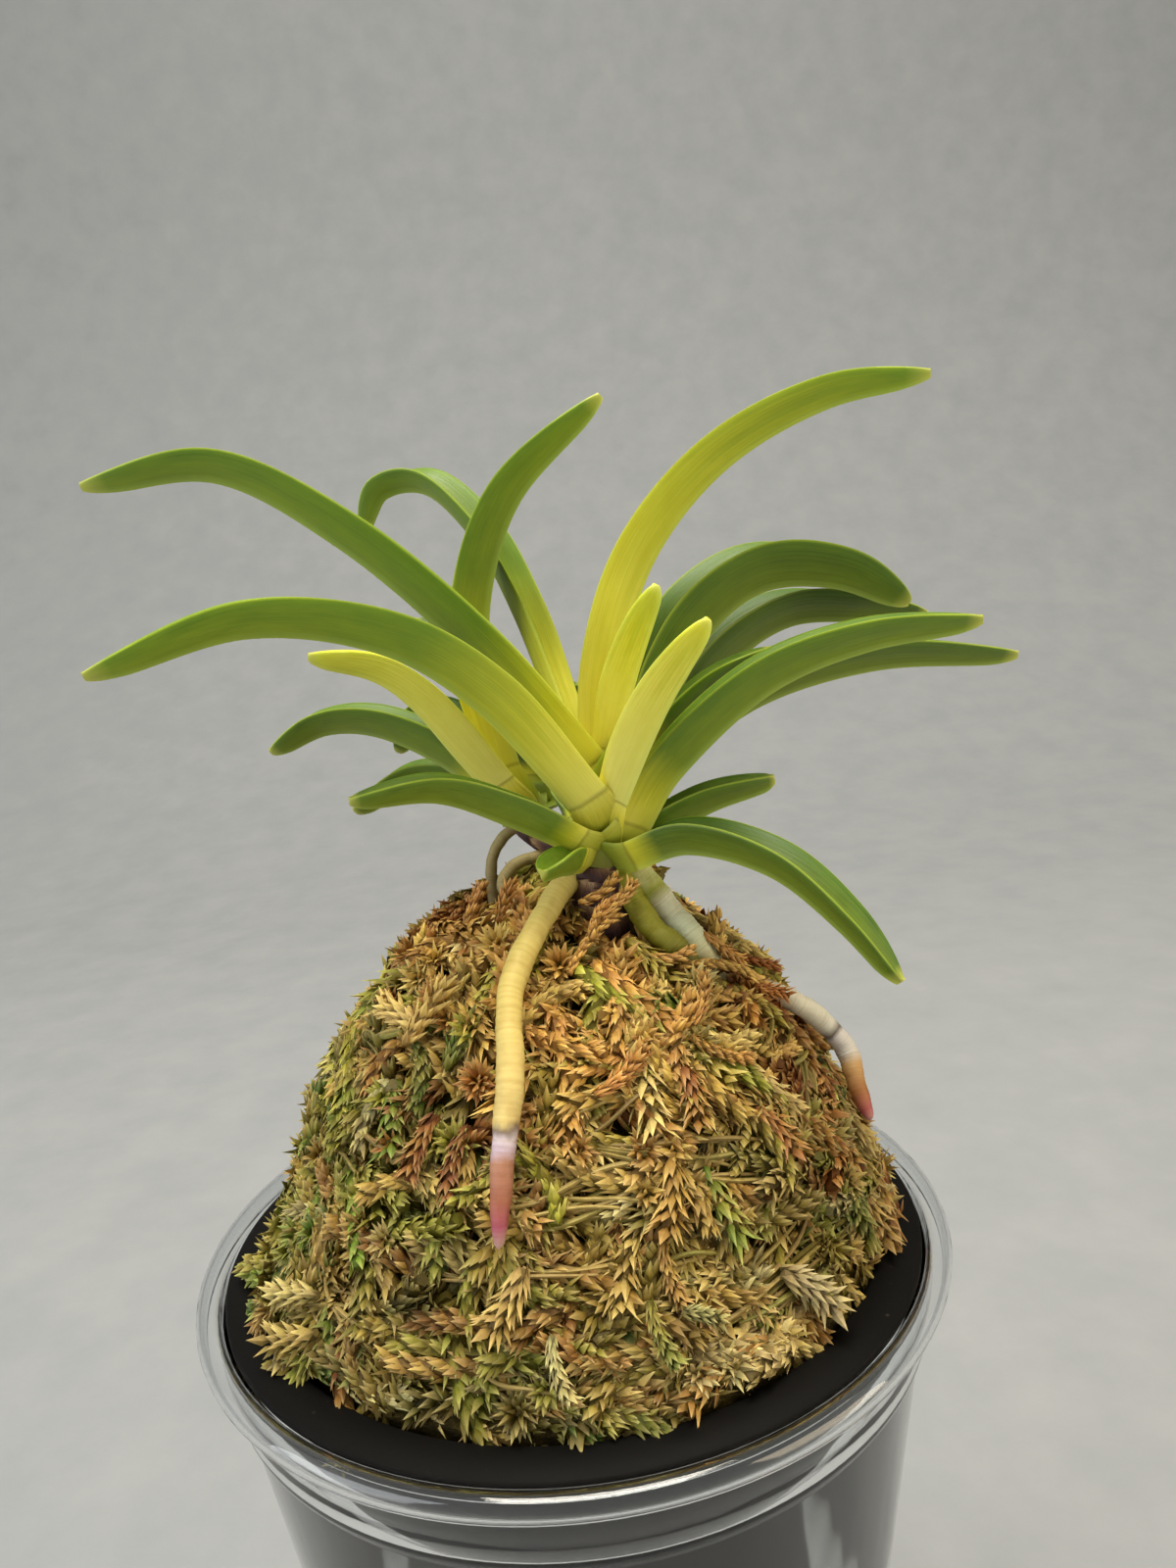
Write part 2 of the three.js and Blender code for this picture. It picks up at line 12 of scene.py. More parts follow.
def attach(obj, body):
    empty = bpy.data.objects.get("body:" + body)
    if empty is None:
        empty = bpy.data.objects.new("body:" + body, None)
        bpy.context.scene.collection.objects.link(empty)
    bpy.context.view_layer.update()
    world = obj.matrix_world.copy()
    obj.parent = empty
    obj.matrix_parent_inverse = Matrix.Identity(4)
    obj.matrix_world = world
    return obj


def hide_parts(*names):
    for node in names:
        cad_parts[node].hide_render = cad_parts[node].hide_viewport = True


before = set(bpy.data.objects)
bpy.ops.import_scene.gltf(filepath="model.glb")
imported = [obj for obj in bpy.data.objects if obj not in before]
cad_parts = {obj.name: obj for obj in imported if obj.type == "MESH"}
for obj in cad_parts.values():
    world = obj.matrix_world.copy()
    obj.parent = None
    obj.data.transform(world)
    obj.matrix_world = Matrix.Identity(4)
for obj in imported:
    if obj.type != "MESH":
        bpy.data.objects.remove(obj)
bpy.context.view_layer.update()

# Tumbler: a cold drinks tumbler, drawn from clear plastic sheet in one piece, with a rolled rim
# and a stacking step below it. It stands on its flat base, and the pot's flange rests on its step.

RIM_RADIUS = 0.049
RIM_BEAD = 0.0016
TUMBLER_HEIGHT = 0.108
TUMBLER_WALL = 0.0008
TUMBLER_BASE = 0.031
ROLLED_WALL = 0.0005
WALL_TURNS = [(0.035, 0.029), (0.040, 0.0628)]
STEP_HEIGHT = 0.0974
STEP_RADIUS = 0.045
LEDGE_HEIGHT = 0.1058
ROUND_STEPS = 144
SHARP_FROM = math.radians(50)


def spun(profile):
    """A bmesh of (radius, height) points turned once round the upright axis."""
    bm = bmesh.new()
    line = [bm.verts.new((radius, 0, height)) for radius, height in profile]
    edges = [bm.edges.new(pair) for pair in zip(line, line[1:])]
    bmesh.ops.spin(
        bm, geom=line + edges, cent=(0, 0, 0), axis=(0, 0, 1), angle=math.tau,
        steps=ROUND_STEPS, use_merge=True,
    )
    bmesh.ops.remove_doubles(bm, verts=bm.verts, dist=1e-6)
    bmesh.ops.recalc_face_normals(bm, faces=bm.faces)
    return bm


def mesh_of(name, bm):
    mesh = bpy.data.meshes.new(name)
    bm.to_mesh(mesh)
    bm.free()
    return mesh


def in_scene(name, data):
    made = bpy.data.objects.new(name, data)
    bpy.context.scene.collection.objects.link(made)
    return made


def piece(name, bm, material, slot, *nodes):
    """Makes a bmesh into a smooth piece that rides on the root body."""
    mesh = mesh_of(name, bm)
    mesh.materials.append(material)
    mesh.shade_smooth()
    mesh.set_sharp_from_angle(angle=SHARP_FROM)
    made = in_scene(name, mesh)
    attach(made, "root")
    if nodes:
        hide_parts(*nodes)


def material_with(name, **sockets):
    """A material, its node tree, and its Principled BSDF with the named sockets set."""
    material = bpy.data.materials.new(name)
    material.use_nodes = True
    tree = material.node_tree
    skin = tree.nodes["Principled BSDF"]
    for socket, value in sockets.items():
        skin.inputs[socket.replace("_", " ")].default_value = value
    return material, tree, skin


def add(tree, kind, inputs=(), **settings):
    """A node whose inputs, by name or number, are set to values or linked to sockets."""
    node = tree.nodes.new(kind)
    for setting, value in settings.items():
        setattr(node, setting, value)
    for key, value in dict(inputs).items():
        if isinstance(value, bpy.types.NodeSocket):
            tree.links.new(value, node.inputs[key])
        else:
            node.inputs[key].default_value = value
    return node


def stretched(tree, where, scale):
    return add(tree, "ShaderNodeMapping", {"Vector": where, "Scale": scale}).outputs[0]


def place_on(tree, scale=(1, 1, 1)):
    """Object coordinates, stretched by a scale along each axis."""
    return stretched(tree, add(tree, "ShaderNodeTexCoord").outputs["Object"], scale)


def noise(tree, where, scale, detail, roughness=0.5):
    return add(
        tree, "ShaderNodeTexNoise",
        {"Vector": where, "Scale": scale, "Detail": detail, "Roughness": roughness},
    ).outputs["Fac"]


def bumped(tree, skin, height, strength, distance):
    bump = add(
        tree, "ShaderNodeBump", {"Height": height, "Strength": strength, "Distance": distance}
    )
    tree.links.new(bump.outputs[0], skin.inputs["Normal"])


def clear_plastic():
    """Clear sheet with faint upright draw lines. Light falls through it on what it holds."""
    material, tree, skin = material_with(
        "clear_plastic", Base_Color=(0.93, 0.945, 0.95, 1), Roughness=0.03, IOR=1.45,
        Transmission_Weight=1.0,
    )
    bumped(tree, skin, noise(tree, place_on(tree, (90, 90, 9)), 1.0, 2.0), 0.35, 0.0004)
    through = add(tree, "ShaderNodeBsdfTransparent", {"Color": (0.86, 0.87, 0.88, 1)})
    ray = add(tree, "ShaderNodeLightPath")
    mix = add(
        tree, "ShaderNodeMixShader",
        {0: ray.outputs["Is Shadow Ray"], 1: skin.outputs[0], 2: through.outputs[0]},
    )
    tree.links.new(mix.outputs[0], tree.nodes["Material Output"].inputs["Surface"])
    return material


def curl(radius, turns):
    """Points of the rolled rim: a round of the given radius, about the middle of the roll."""
    middle, height = RIM_RADIUS - RIM_BEAD, TUMBLER_HEIGHT - RIM_BEAD
    return [
        (middle + radius * math.cos(turn), height + radius * math.sin(turn))
        for turn in map(math.radians, turns)
    ]


tumbler = spun([
    (0, 0),
    (TUMBLER_BASE - 0.0015, 0),
    (TUMBLER_BASE - 0.0004, 0.0005),
    (TUMBLER_BASE, 0.0015),
    *WALL_TURNS,
    (STEP_RADIUS - 0.0001, STEP_HEIGHT - 0.0012),
    (STEP_RADIUS + 0.0002, STEP_HEIGHT - 0.0004),
    (STEP_RADIUS + 0.0007, STEP_HEIGHT + 0.0001),
    (STEP_RADIUS + 0.0009, STEP_HEIGHT + 0.0008),
    (STEP_RADIUS + 0.0010, LEDGE_HEIGHT - 0.0013),
    *curl(RIM_BEAD - ROLLED_WALL, range(190, -80, -15)),
    *curl(RIM_BEAD, range(-75, 181, 15)),
    (RIM_RADIUS - 2 * RIM_BEAD, LEDGE_HEIGHT),
    (STEP_RADIUS + 0.0007 - TUMBLER_WALL, LEDGE_HEIGHT - 0.0006),
    (STEP_RADIUS + 0.0006 - TUMBLER_WALL, STEP_HEIGHT + 0.0008),
    (STEP_RADIUS + 0.0001 - TUMBLER_WALL, STEP_HEIGHT),
    (STEP_RADIUS - 0.0004 - TUMBLER_WALL, STEP_HEIGHT - 0.0009),
    *((radius - TUMBLER_WALL, height) for radius, height in reversed(WALL_TURNS)),
    (TUMBLER_BASE - TUMBLER_WALL, 0.0022),
    (TUMBLER_BASE - 0.0015 - TUMBLER_WALL, 0.001),
    (0, 0.001),
])
piece("clear_tumbler", tumbler, clear_plastic(), "clear_plastic", "tumbler")

# Inner pot: a black pot, moulded in one piece with a wide flat flange that hangs it in the tumbler.
# Its floor has five drain holes. The flange is dull, with specks of dust and peat.

FLANGE_TOP = 0.1073
FLANGE_THICK = 0.0012
FLANGE_RADIUS = 0.0454
POT_MOUTH = 0.0408
POT_WALL = 0.001
POT_FLOOR = 0.0353
POT_FLOOR_THICK = 0.0012
POT_BASE_RADIUS = 0.028
DRAIN_RADIUS = 0.003
DRAIN_CIRCLE = 0.016
DRAIN_SIDES = 20
BLACK = (0.0032, 0.0028, 0.0022, 1)
DUST = (0.09, 0.075, 0.05, 1)


def blend(tree, factor, a, b, kind="MIX"):
    node = add(
        tree, "ShaderNodeMix", {"Factor": factor, "A": a, "B": b}, data_type="RGBA",
        blend_type=kind,
    )
    return node.outputs["Result"]


def ranged(tree, value, low, high, to_low=0.0, to_high=1.0):
    """Carries a value from one range to another, held at its ends."""
    node = add(
        tree, "ShaderNodeMapRange",
        {"Value": value, "From Min": low, "From Max": high, "To Min": to_low, "To Max": to_high},
    )
    return node.outputs[0]


def sums(tree, kind, a, b):
    return add(tree, "ShaderNodeMath", {0: a, 1: b}, operation=kind).outputs[0]


def black_plastic():
    """Dull black plastic with a fine grain, and specks of dust here and there."""
    material, tree, skin = material_with("black_plastic", Specular_IOR_Level=0.1)
    bumped(tree, skin, noise(tree, place_on(tree), 2600.0, 3.0), 0.25, 0.0001)
    dust = add(
        tree, "ShaderNodeTexVoronoi",
        {"Vector": place_on(tree), "Scale": 420.0, "Randomness": 1.0},
    )
    worn = noise(tree, place_on(tree), 70.0, 4.0)
    speck = ranged(tree, dust.outputs["Distance"], 0.12, 0.05)
    specks = sums(tree, "MULTIPLY", speck, ranged(tree, worn, 0.55, 0.7, 0.0, 0.6))
    tree.links.new(blend(tree, specks, BLACK, DUST), skin.inputs["Base Color"])
    tree.links.new(ranged(tree, worn, 0.0, 1.0, 0.6, 0.78), skin.inputs["Roughness"])
    return material


inside_floor = POT_FLOOR + POT_FLOOR_THICK
pot = spun([
    (POT_BASE_RADIUS - 0.001, POT_FLOOR),
    (POT_BASE_RADIUS, POT_FLOOR + 0.0006),
    (POT_MOUTH, FLANGE_TOP - FLANGE_THICK),
    (FLANGE_RADIUS - 0.0003, FLANGE_TOP - FLANGE_THICK),
    (FLANGE_RADIUS, FLANGE_TOP - FLANGE_THICK + 0.0003),
    (FLANGE_RADIUS, FLANGE_TOP - 0.0003),
    (FLANGE_RADIUS - 0.0003, FLANGE_TOP),
    (POT_MOUTH - POT_WALL + 0.0008, FLANGE_TOP),
    (POT_MOUTH - POT_WALL, FLANGE_TOP - 0.0008),
    (POT_BASE_RADIUS - POT_WALL, inside_floor),
])
open_rims = [edge for edge in pot.edges if edge.is_boundary]
drains = [(0, 0)]
for corner in range(4):
    turn = math.radians(45 + 90 * corner)
    drains.append((DRAIN_CIRCLE * math.cos(turn), DRAIN_CIRCLE * math.sin(turn)))
holes = []
for x, y in drains:
    rims = []
    for height in (POT_FLOOR, inside_floor):
        ring = bmesh.ops.create_circle(
            pot, segments=DRAIN_SIDES, radius=DRAIN_RADIUS, matrix=Matrix.Translation((x, y, height))
        )["verts"]
        rims.append(list(dict.fromkeys(edge for vert in ring for edge in vert.link_edges)))
    bmesh.ops.bridge_loops(pot, edges=rims[0] + rims[1])
    holes += rims[0] + rims[1]
for height in (POT_FLOOR, inside_floor):
    level = [
        edge for edge in open_rims + holes
        if all(abs(vert.co.z - height) < 1e-5 for vert in edge.verts)
    ]
    bmesh.ops.triangle_fill(pot, edges=level, use_beauty=True)
bmesh.ops.recalc_face_normals(pot, faces=pot.faces)
piece("black_pot", pot, black_plastic(), "black_plastic", "inner_pot")

# Stem feet: the oldest part of each stem, wrapped in the dry, papery sheaths of leaves that have
# dropped. They lap over one another like scales, and stand in the moss.

MM = 0.001
CURVE_STEPS = 24
FOOT_SIDES = 20
FOOT_STEPS = 36
FOOT_SCALES = 3

# Each stem runs from its foot to its head, and down from its foot through the rooted points.
STEMS = {
    "front": {
        "radius": 3, "head": (10.2, -6.4, 170), "foot": (8.2, -6.4, 158.4),
        "rooted": [(8, -6.4, 154), (7.8, -6.2, 149.6)],
    },
    "back": {
        "radius": 2.3, "head": (-2.6, 7.4, 167.6), "foot": (-0.8, 5.6, 161.6),
        "rooted": [(4.2, 2.8, 158.4), (7.2, 1, 153)],
    },
}


def rounded_path(points):
    """A smooth curve through points: (place, heading) for a share of its length."""
    given = [Vector(p) for p in points]
    ends = [2 * given[0] - given[1], *given, 2 * given[-1] - given[-2]]
    places = [given[0]]
    for p0, p1, p2, p3 in zip(ends, ends[1:], ends[2:], ends[3:]):
        d0, d1, d2 = ((b - a).length ** 0.5 for a, b in ((p0, p1), (p1, p2), (p2, p3)))
        leave = ((p1 - p0) / d0 - (p2 - p0) / (d0 + d1) + (p2 - p1) / d1) * d1
        reach = ((p2 - p1) / d1 - (p3 - p1) / (d1 + d2) + (p3 - p2) / d2) * d1
        for step in range(1, CURVE_STEPS + 1):
            t = step / CURVE_STEPS
            bend = -3 * p1 + 3 * p2 - 2 * leave - reach
            turn = 2 * p1 - 2 * p2 + leave + reach
            places.append(p1 + leave * t + bend * t ** 2 + turn * t ** 3)
    run = [0]
    for a, b in zip(places, places[1:]):
        run.append(run[-1] + (b - a).length)

    def at(share):
        wanted = min(1, max(0, share)) * run[-1]
        i = next((k for k in range(1, len(run)) if run[k] >= wanted), len(run) - 1)
        t = (wanted - run[i - 1]) / (run[i] - run[i - 1])
        before, after = places[max(0, i - 2)], places[min(len(places) - 1, i + 1)]
        return places[i - 1].lerp(places[i], t), (after - before).normalized()

    return at


def rod(sides, steps):
    """A bmesh of an upright rod of unit radius and length, with a ring of points at each step."""
    bm = bmesh.new()
    bmesh.ops.create_cone(bm, cap_ends=True, segments=sides, radius1=1, radius2=1, depth=1)
    rails = [e for e in bm.edges if abs(e.verts[0].co.z - e.verts[1].co.z) > 0.5]
    bmesh.ops.subdivide_edges(bm, edges=rails, cuts=steps - 1, use_grid_fill=True)
    return bm


def sweep(bm, sides, spine, section, marks):
    """Moves a rod's rings along a spine. The spine gives a place, its heading and its up side for a
    share of the length, the section gives point k of the ring, across and up, and marks gives the
    point's values for the named layers. Works in millimetres and leaves metres."""
    for name in marks(0, 0):
        bm.verts.layers.float.new(name)
    for vert in bm.verts:
        share = vert.co.z + 0.5
        k = round(math.atan2(vert.co.x, vert.co.y) / math.tau * sides) % sides
        place, along, up = spine(share)
        across = along.cross(up).normalized()
        a, b = section(k, share)
        vert.co = (place + across * a + up * b) * MM
        for name, value in marks(k, share).items():
            vert[bm.verts.layers.float[name]] = value
    bmesh.ops.recalc_face_normals(bm, faces=bm.faces)
    return bm


def upright_spine(points, facing):
    """A spine along a smooth curve, whose up side leans towards a fixed direction."""
    curve = rounded_path(points)
    toward = Vector(facing)

    def spine(share):
        place, along = curve(share)
        return place, along, (toward - along * toward.dot(along)).normalized()

    return spine


def ring_point(out, turn):
    return out * math.sin(turn), out * math.cos(turn)


def join_into(whole, part):
    """Adds one bmesh to another, layers and all."""
    mesh = mesh_of("part", part)
    whole.from_mesh(mesh)
    bpy.data.meshes.remove(mesh)


def value_of(tree, name):
    return add(tree, "ShaderNodeAttribute", attribute_name=name).outputs["Fac"]


def ramp(tree, factor, *stops):
    """A colour ramp of (place, hex colour) stops."""
    node = add(tree, "ShaderNodeValToRGB", {"Fac": factor})
    points = node.color_ramp.elements
    while len(points) < len(stops):
        points.new(0.5)
    for point, (place, colour) in zip(points, stops):
        point.position = place
        point.color = linear(colour)
    return node.outputs["Color"]


def linear(colour):
    """The linear colour of a hex code as it is seen."""
    parts = [int(colour[i:i + 2], 16) / 255 for i in (0, 2, 4)]
    return (*(p / 12.92 if p < 0.04 else ((p + 0.055) / 1.055) ** 2.4 for p in parts), 1)


def papery_sheath():
    """Thin dry sheath, streaked along its length, and darker towards each scale's edge."""
    material, tree, skin = material_with("dry_sheath", Roughness=0.62, Specular_IOR_Level=0.3)
    along = value_of(tree, "along")
    where = add(tree, "ShaderNodeCombineXYZ", {0: value_of(tree, "lane"), 1: along}).outputs[0]
    streaks = noise(tree, stretched(tree, where, (9, 1.4, 1)), 2.2, 5.0, 0.65)
    shade = sums(tree, "ADD", sums(tree, "MULTIPLY", streaks, 0.9), along)
    colour = ramp(
        tree, sums(tree, "SUBTRACT", shade, 0.45), (0.0, "b59a72"), (0.2, "8a6a4c"),
        (0.45, "5e3f34"), (0.7, "402a2a"), (1.0, "2e1d1c"),
    )
    tree.links.new(colour, skin.inputs["Base Color"])
    bumped(tree, skin, streaks, 0.6, 0.0004)
    return material


def foot_of(stem):
    """A foot of lapped dry sheaths: each scale flares a little where the next one starts."""
    spine = upright_spine([stem["foot"], *stem["rooted"]], (0, -1, 0))

    def lap(turn, share):
        wave = 0.38 * math.sin(turn + 0.7) + 0.14 * math.sin(3 * turn)
        return (share * FOOT_SCALES + wave) % 1

    def section(k, share):
        turn = math.tau * k / FOOT_SIDES
        swell = 0.75 + 0.42 * math.sin(math.pi * (0.25 + 0.5 * share))
        ribs = 0.035 * math.sin(turn * 5 + 1.3) + 0.02 * math.sin(turn * 9)
        return ring_point(stem["radius"] * swell * (0.9 + 0.15 * lap(turn, share) + ribs), turn)

    def marks(k, share):
        return {"along": lap(math.tau * k / FOOT_SIDES, share), "lane": k / FOOT_SIDES * 6}

    return sweep(rod(FOOT_SIDES, FOOT_STEPS), FOOT_SIDES, spine, section, marks)


dry_sheath = papery_sheath()
for fan, stem in STEMS.items():
    piece(fan + "_foot", foot_of(stem), dry_sheath, "dry_sheath", fan + "_stem_foot")

# Leaves: thick, waxy blades folded along the keel, which arch out of the fan in two ranks. Yellow
# light comes through their young bases, and a pale line runs along each margin and keel. The keel's
# line is partly a painted highlight, and the under faces carry a painted sheen.

LEAF_KEEL = 1.5
LEAF_FLANK = 1.1
BLADE_STEPS = 54
LANES = (0, 0.12, 0.4, 0.7, 0.9, 0.98, 1)
BLADE_SIDES = 4 * len(LANES) - 4
FOLD = 52
OPENED = 96


def folded_leaf(name, width, sun, tone, path, fold=FOLD):
    return {"name": name, "width": width, "fold": fold, "sun": sun, "tone": tone, "path": path}


# A leaf's path runs from the joint with its sheath to its tip, in millimetres. Sun is the share of
# the blade that is still yellow, and tone goes from 0, a dark leaf, to 1, a fresh one. Tone is partly
# painted light: it is set higher on leaves that stand in shade, so that they read brighter.
LEAVES = {
    "front": [
        folded_leaf("new_inner", 7, 1.5, 0.9, [
            (10.2, -6.8, 172.6), (12, -8.4, 179.6), (14.4, -9.8, 185.4), (17.3, -11, 191),
        ], fold=44),
        folded_leaf("new_outer", 8, 2.2, 1.0, [
            (10.3, -10, 167.4), (12.9, -12.6, 173.6), (16.6, -15.4, 180.2), (22, -18, 187.2),
        ], fold=44),
        folded_leaf("tall", 10, 0.95, 0.85, [
            (8.8, -4, 172), (10.1, -4, 182), (15.4, -4, 195), (25.3, -4.4, 205.1),
            (38, -5.6, 210.6), (50, -7, 211.4),
        ], fold=60),
        folded_leaf("left_high", 9, 0.3, 0.5, [
            (8.4, -7, 171), (-2.1, -9, 185.8), (-16, -11, 200.3), (-29.2, -12, 208.4),
            (-44, -12, 207.4),
        ]),
        folded_leaf("back_curl", 8, 0.45, 0.4, [
            (6.6, -1, 172.6), (1.4, 8, 189.6), (-3.4, 12, 199.8), (-10.3, 16, 206.6),
            (-16.4, 18, 206), (-19.6, 18.4, 200),
        ]),
        folded_leaf("right_high", 14, 0.12, 0.2, [
            (14.2, -4.4, 173.6), (17.6, -2, 181.2), (22.8, 0, 187.8), (31, 2.2, 191.8),
            (41, 3.7, 190.6), (50, 4.4, 185.4),
        ]),
        folded_leaf("right_mid", 10.5, 0.1, 0.05, [
            (14.8, -2.6, 171), (26.2, 5.4, 182.2), (35, 8.6, 186), (44, 10.4, 185.4),
            (54.4, 12, 183),
        ]),
        folded_leaf("right_short", 7, 0.3, 0.35, [
            (14.3, -6, 169.6), (17.5, -6, 174.2), (23.1, -6, 179), (30.5, -6, 182.2),
        ]),
        folded_leaf("left_low", 10, 0.44, 0.7, [
            (7.6, -10.4, 167.6), (-2, -15.6, 181.8), (-11.6, -18.8, 189.2), (-25.8, -22, 192.2),
            (-41.6, -26, 188),
        ]),
        folded_leaf("right_long", 9, 0.2, 0.4, [
            (12.1, -8.8, 163.8), (16.3, -10, 170.4), (28, -11.6, 180), (39.9, -12, 183.6),
            (53.4, -12, 184),
        ]),
        folded_leaf("right_back", 8.5, 0.1, 0.15, [
            (14, -4.6, 166.2), (20.1, -1.6, 172.2), (29.1, 0, 177.2), (45, 3, 179.6),
            (64, 6, 177.4),
        ]),
        folded_leaf("left_short", 7, 0.15, 0.3, [
            (6, -9.8, 162.6), (-1, -13, 167.6), (-9, -15.6, 171.4), (-18.6, -18, 171.2),
        ]),
        folded_leaf("stub_back", 5, 0.2, 0.1, [
            (5.6, -4.6, 163.4), (4.8, -2.6, 165), (3.4, -0.6, 168.2),
        ]),
        folded_leaf("right_low", 6.5, 0.12, 0.2, [
            (12.2, -7.9, 161.3), (15.2, -8, 163), (21.3, -8, 165.7), (29.6, -8, 167.2),
        ]),
        folded_leaf("drooping", 7.5, 0.1, 0.08, [
            (11.9, -9.5, 160.2), (18.4, -12, 162.4), (27.8, -18.4, 160.2), (34.5, -23, 154),
            (39.2, -25.2, 147.2),
        ]),
        folded_leaf("bottom_stub", 6, 0.1, 0.4, [
            (5.8, -9.8, 160.2), (4, -12.8, 160.9), (1.4, -16, 160.4),
        ]),
    ],
    "back": [
        folded_leaf("tall", 9, 0.5, 0.5, [
            (-3.2, 6.2, 169), (-5.5, 5.4, 181.6), (-4.3, 4.2, 192), (1, 2.8, 203.2),
            (13.3, 1, 213.2),
        ], fold=60),
        folded_leaf("young", 8, 2.0, 1.0, [
            (-3.4, 3.6, 167.6), (-11.7, 0, 180.4), (-16.5, -1, 184.2), (-24.4, -2, 186.2),
        ]),
        folded_leaf("upright", 8, 0.12, 0.1, [
            (-0.8, 9.8, 166.6), (-1, 11.2, 169.7), (1.2, 12.2, 173.8), (4.8, 12.4, 176.8),
            (8, 12.4, 177.8),
        ]),
        folded_leaf("left_top", 8.5, 0.12, 0.0, [
            (2.8, 10, 164.4), (1.1, 13.4, 168.4), (-4.7, 19, 178), (-9.6, 21.6, 185.2),
            (-15.2, 24, 188),
        ]),
        folded_leaf("left_mid", 8.5, 0.2, 0.25, [
            (-4, 6.4, 166.4), (-11, 7, 172.6), (-19.4, 8, 176.6), (-26.5, 8.8, 176.8),
            (-33.6, 9, 173.4),
        ]),
        folded_leaf("left_rear", 7.5, 0.1, 0.1, [
            (-2.8, 13.6, 168), (-8.5, 17.6, 173.8), (-14, 20, 175.7), (-19.2, 22, 169.8),
        ]),
        folded_leaf("left_low", 8, 0.15, 0.2, [
            (-2.8, 8.8, 164.8), (-9.2, 10.4, 167.4), (-16, 12, 168), (-24.4, 12.2, 163.8),
        ]),
    ],
}


def blade_spine(leaf):
    """The fold stands upright: its sides lie level, square to the way that the leaf heads."""
    curve = rounded_path(leaf["path"])
    heads = Vector(leaf["path"][-1]) - Vector(leaf["path"][0])
    side = Vector((heads.y, -heads.x, 0)).normalized()

    def spine(share):
        place, along = curve(share)
        return place, along, side.cross(along).normalized()

    return spine


def lane_of(k):
    """How far point k lies from the fold, from -1 at one margin to 1 at the other, and its face."""
    half = BLADE_SIDES // 2
    step = k if k <= half else BLADE_SIDES - k
    lane = LANES[min(step, half - step)]
    return (lane if k <= half else -lane), step > half / 2


def smooth(value, low, high):
    t = min(1, max(0, (value - low) / (high - low)))
    return t * t * (3 - 2 * t)


def mixed(a, b, t):
    return a + (b - a) * t


def blade_section(leaf, k, share):
    """The V of a blade, thick at its keel and round at its margins."""
    opened = mixed(leaf["fold"], OPENED, smooth(share, 0, 0.9))
    half = math.radians(opened / 2)
    swell = 0.86 + 0.14 * smooth(share, 0, 0.3)
    taper = max(0, 1 - (0.997 * share) ** 5) ** 0.6
    flank = leaf["width"] / 2 * swell * taper
    out, rise = math.sin(half), math.cos(half)
    thin = 0.5 + 0.5 * min(1, 4 * flank / leaf["width"])
    skin = LEAF_FLANK * thin / 2
    lane, under = lane_of(k)
    reach = abs(lane)
    thick = skin * (1 - 0.45 * reach) * max(0, 1 - reach ** 8) ** 0.5
    lean = -thick if under else thick
    a = max(0, reach * flank * out - lean * rise)
    b = reach * flank * rise + lean * out
    if k == 0:
        b = skin / out
    elif k * 2 == BLADE_SIDES:
        b = -(LEAF_KEEL - LEAF_FLANK / 2) * thin
    elif not under:
        b = max(b, skin / out * 0.98)
    return math.copysign(a, lane), b - 0.5 * flank * rise


def leaf_blade(leaf):
    spine = blade_spine(leaf)

    def eased(share):
        """Sets the rings closer together towards the tip."""
        return 1 - (1 - share) ** 1.35

    def marks(k, share):
        lane, under = lane_of(k)
        return {
            "along": share, "lane": lane, "under": float(under),
            "sun": leaf["sun"], "tone": leaf["tone"],
        }

    return sweep(
        rod(BLADE_SIDES, BLADE_STEPS), BLADE_SIDES,
        lambda share: spine(eased(share)),
        lambda k, share: blade_section(leaf, k, eased(share)),
        lambda k, share: marks(k, eased(share)),
    )


def effect_group(name, given, put):
    """A shader group with the named inputs and outputs, and the sockets of what it is given."""
    group = bpy.data.node_groups.new(name, "ShaderNodeTree")
    for way, names in (("INPUT", given), ("OUTPUT", put)):
        for socket in names:
            group.interface.new_socket(socket, in_out=way, socket_type="NodeSocketFloat")
    return group, group.nodes.new("NodeGroupInput").outputs


def vein_streaks():
    """A group that turns a blade's lane and length into fine streaks and broad mottling."""
    group, given = effect_group("vein_streaks", ("Lane", "Along"), ("Streaks", "Mottle"))
    where = add(group, "ShaderNodeCombineXYZ", {0: given["Lane"], 1: given["Along"]}).outputs[0]
    add(group, "NodeGroupOutput", {
        "Streaks": noise(group, stretched(group, where, (14, 1.1, 1)), 2.0, 4.0, 0.6),
        "Mottle": noise(group, stretched(group, where, (1.5, 5, 1)), 2.0, 3.0),
    })
    return group


VEIN_STREAKS = vein_streaks()


FLESHY = {
    "Roughness": 0.45, "Subsurface_Weight": 0.12, "Subsurface_Scale": 0.002,
    "Subsurface_Radius": (0.6, 0.9, 0.15),
}


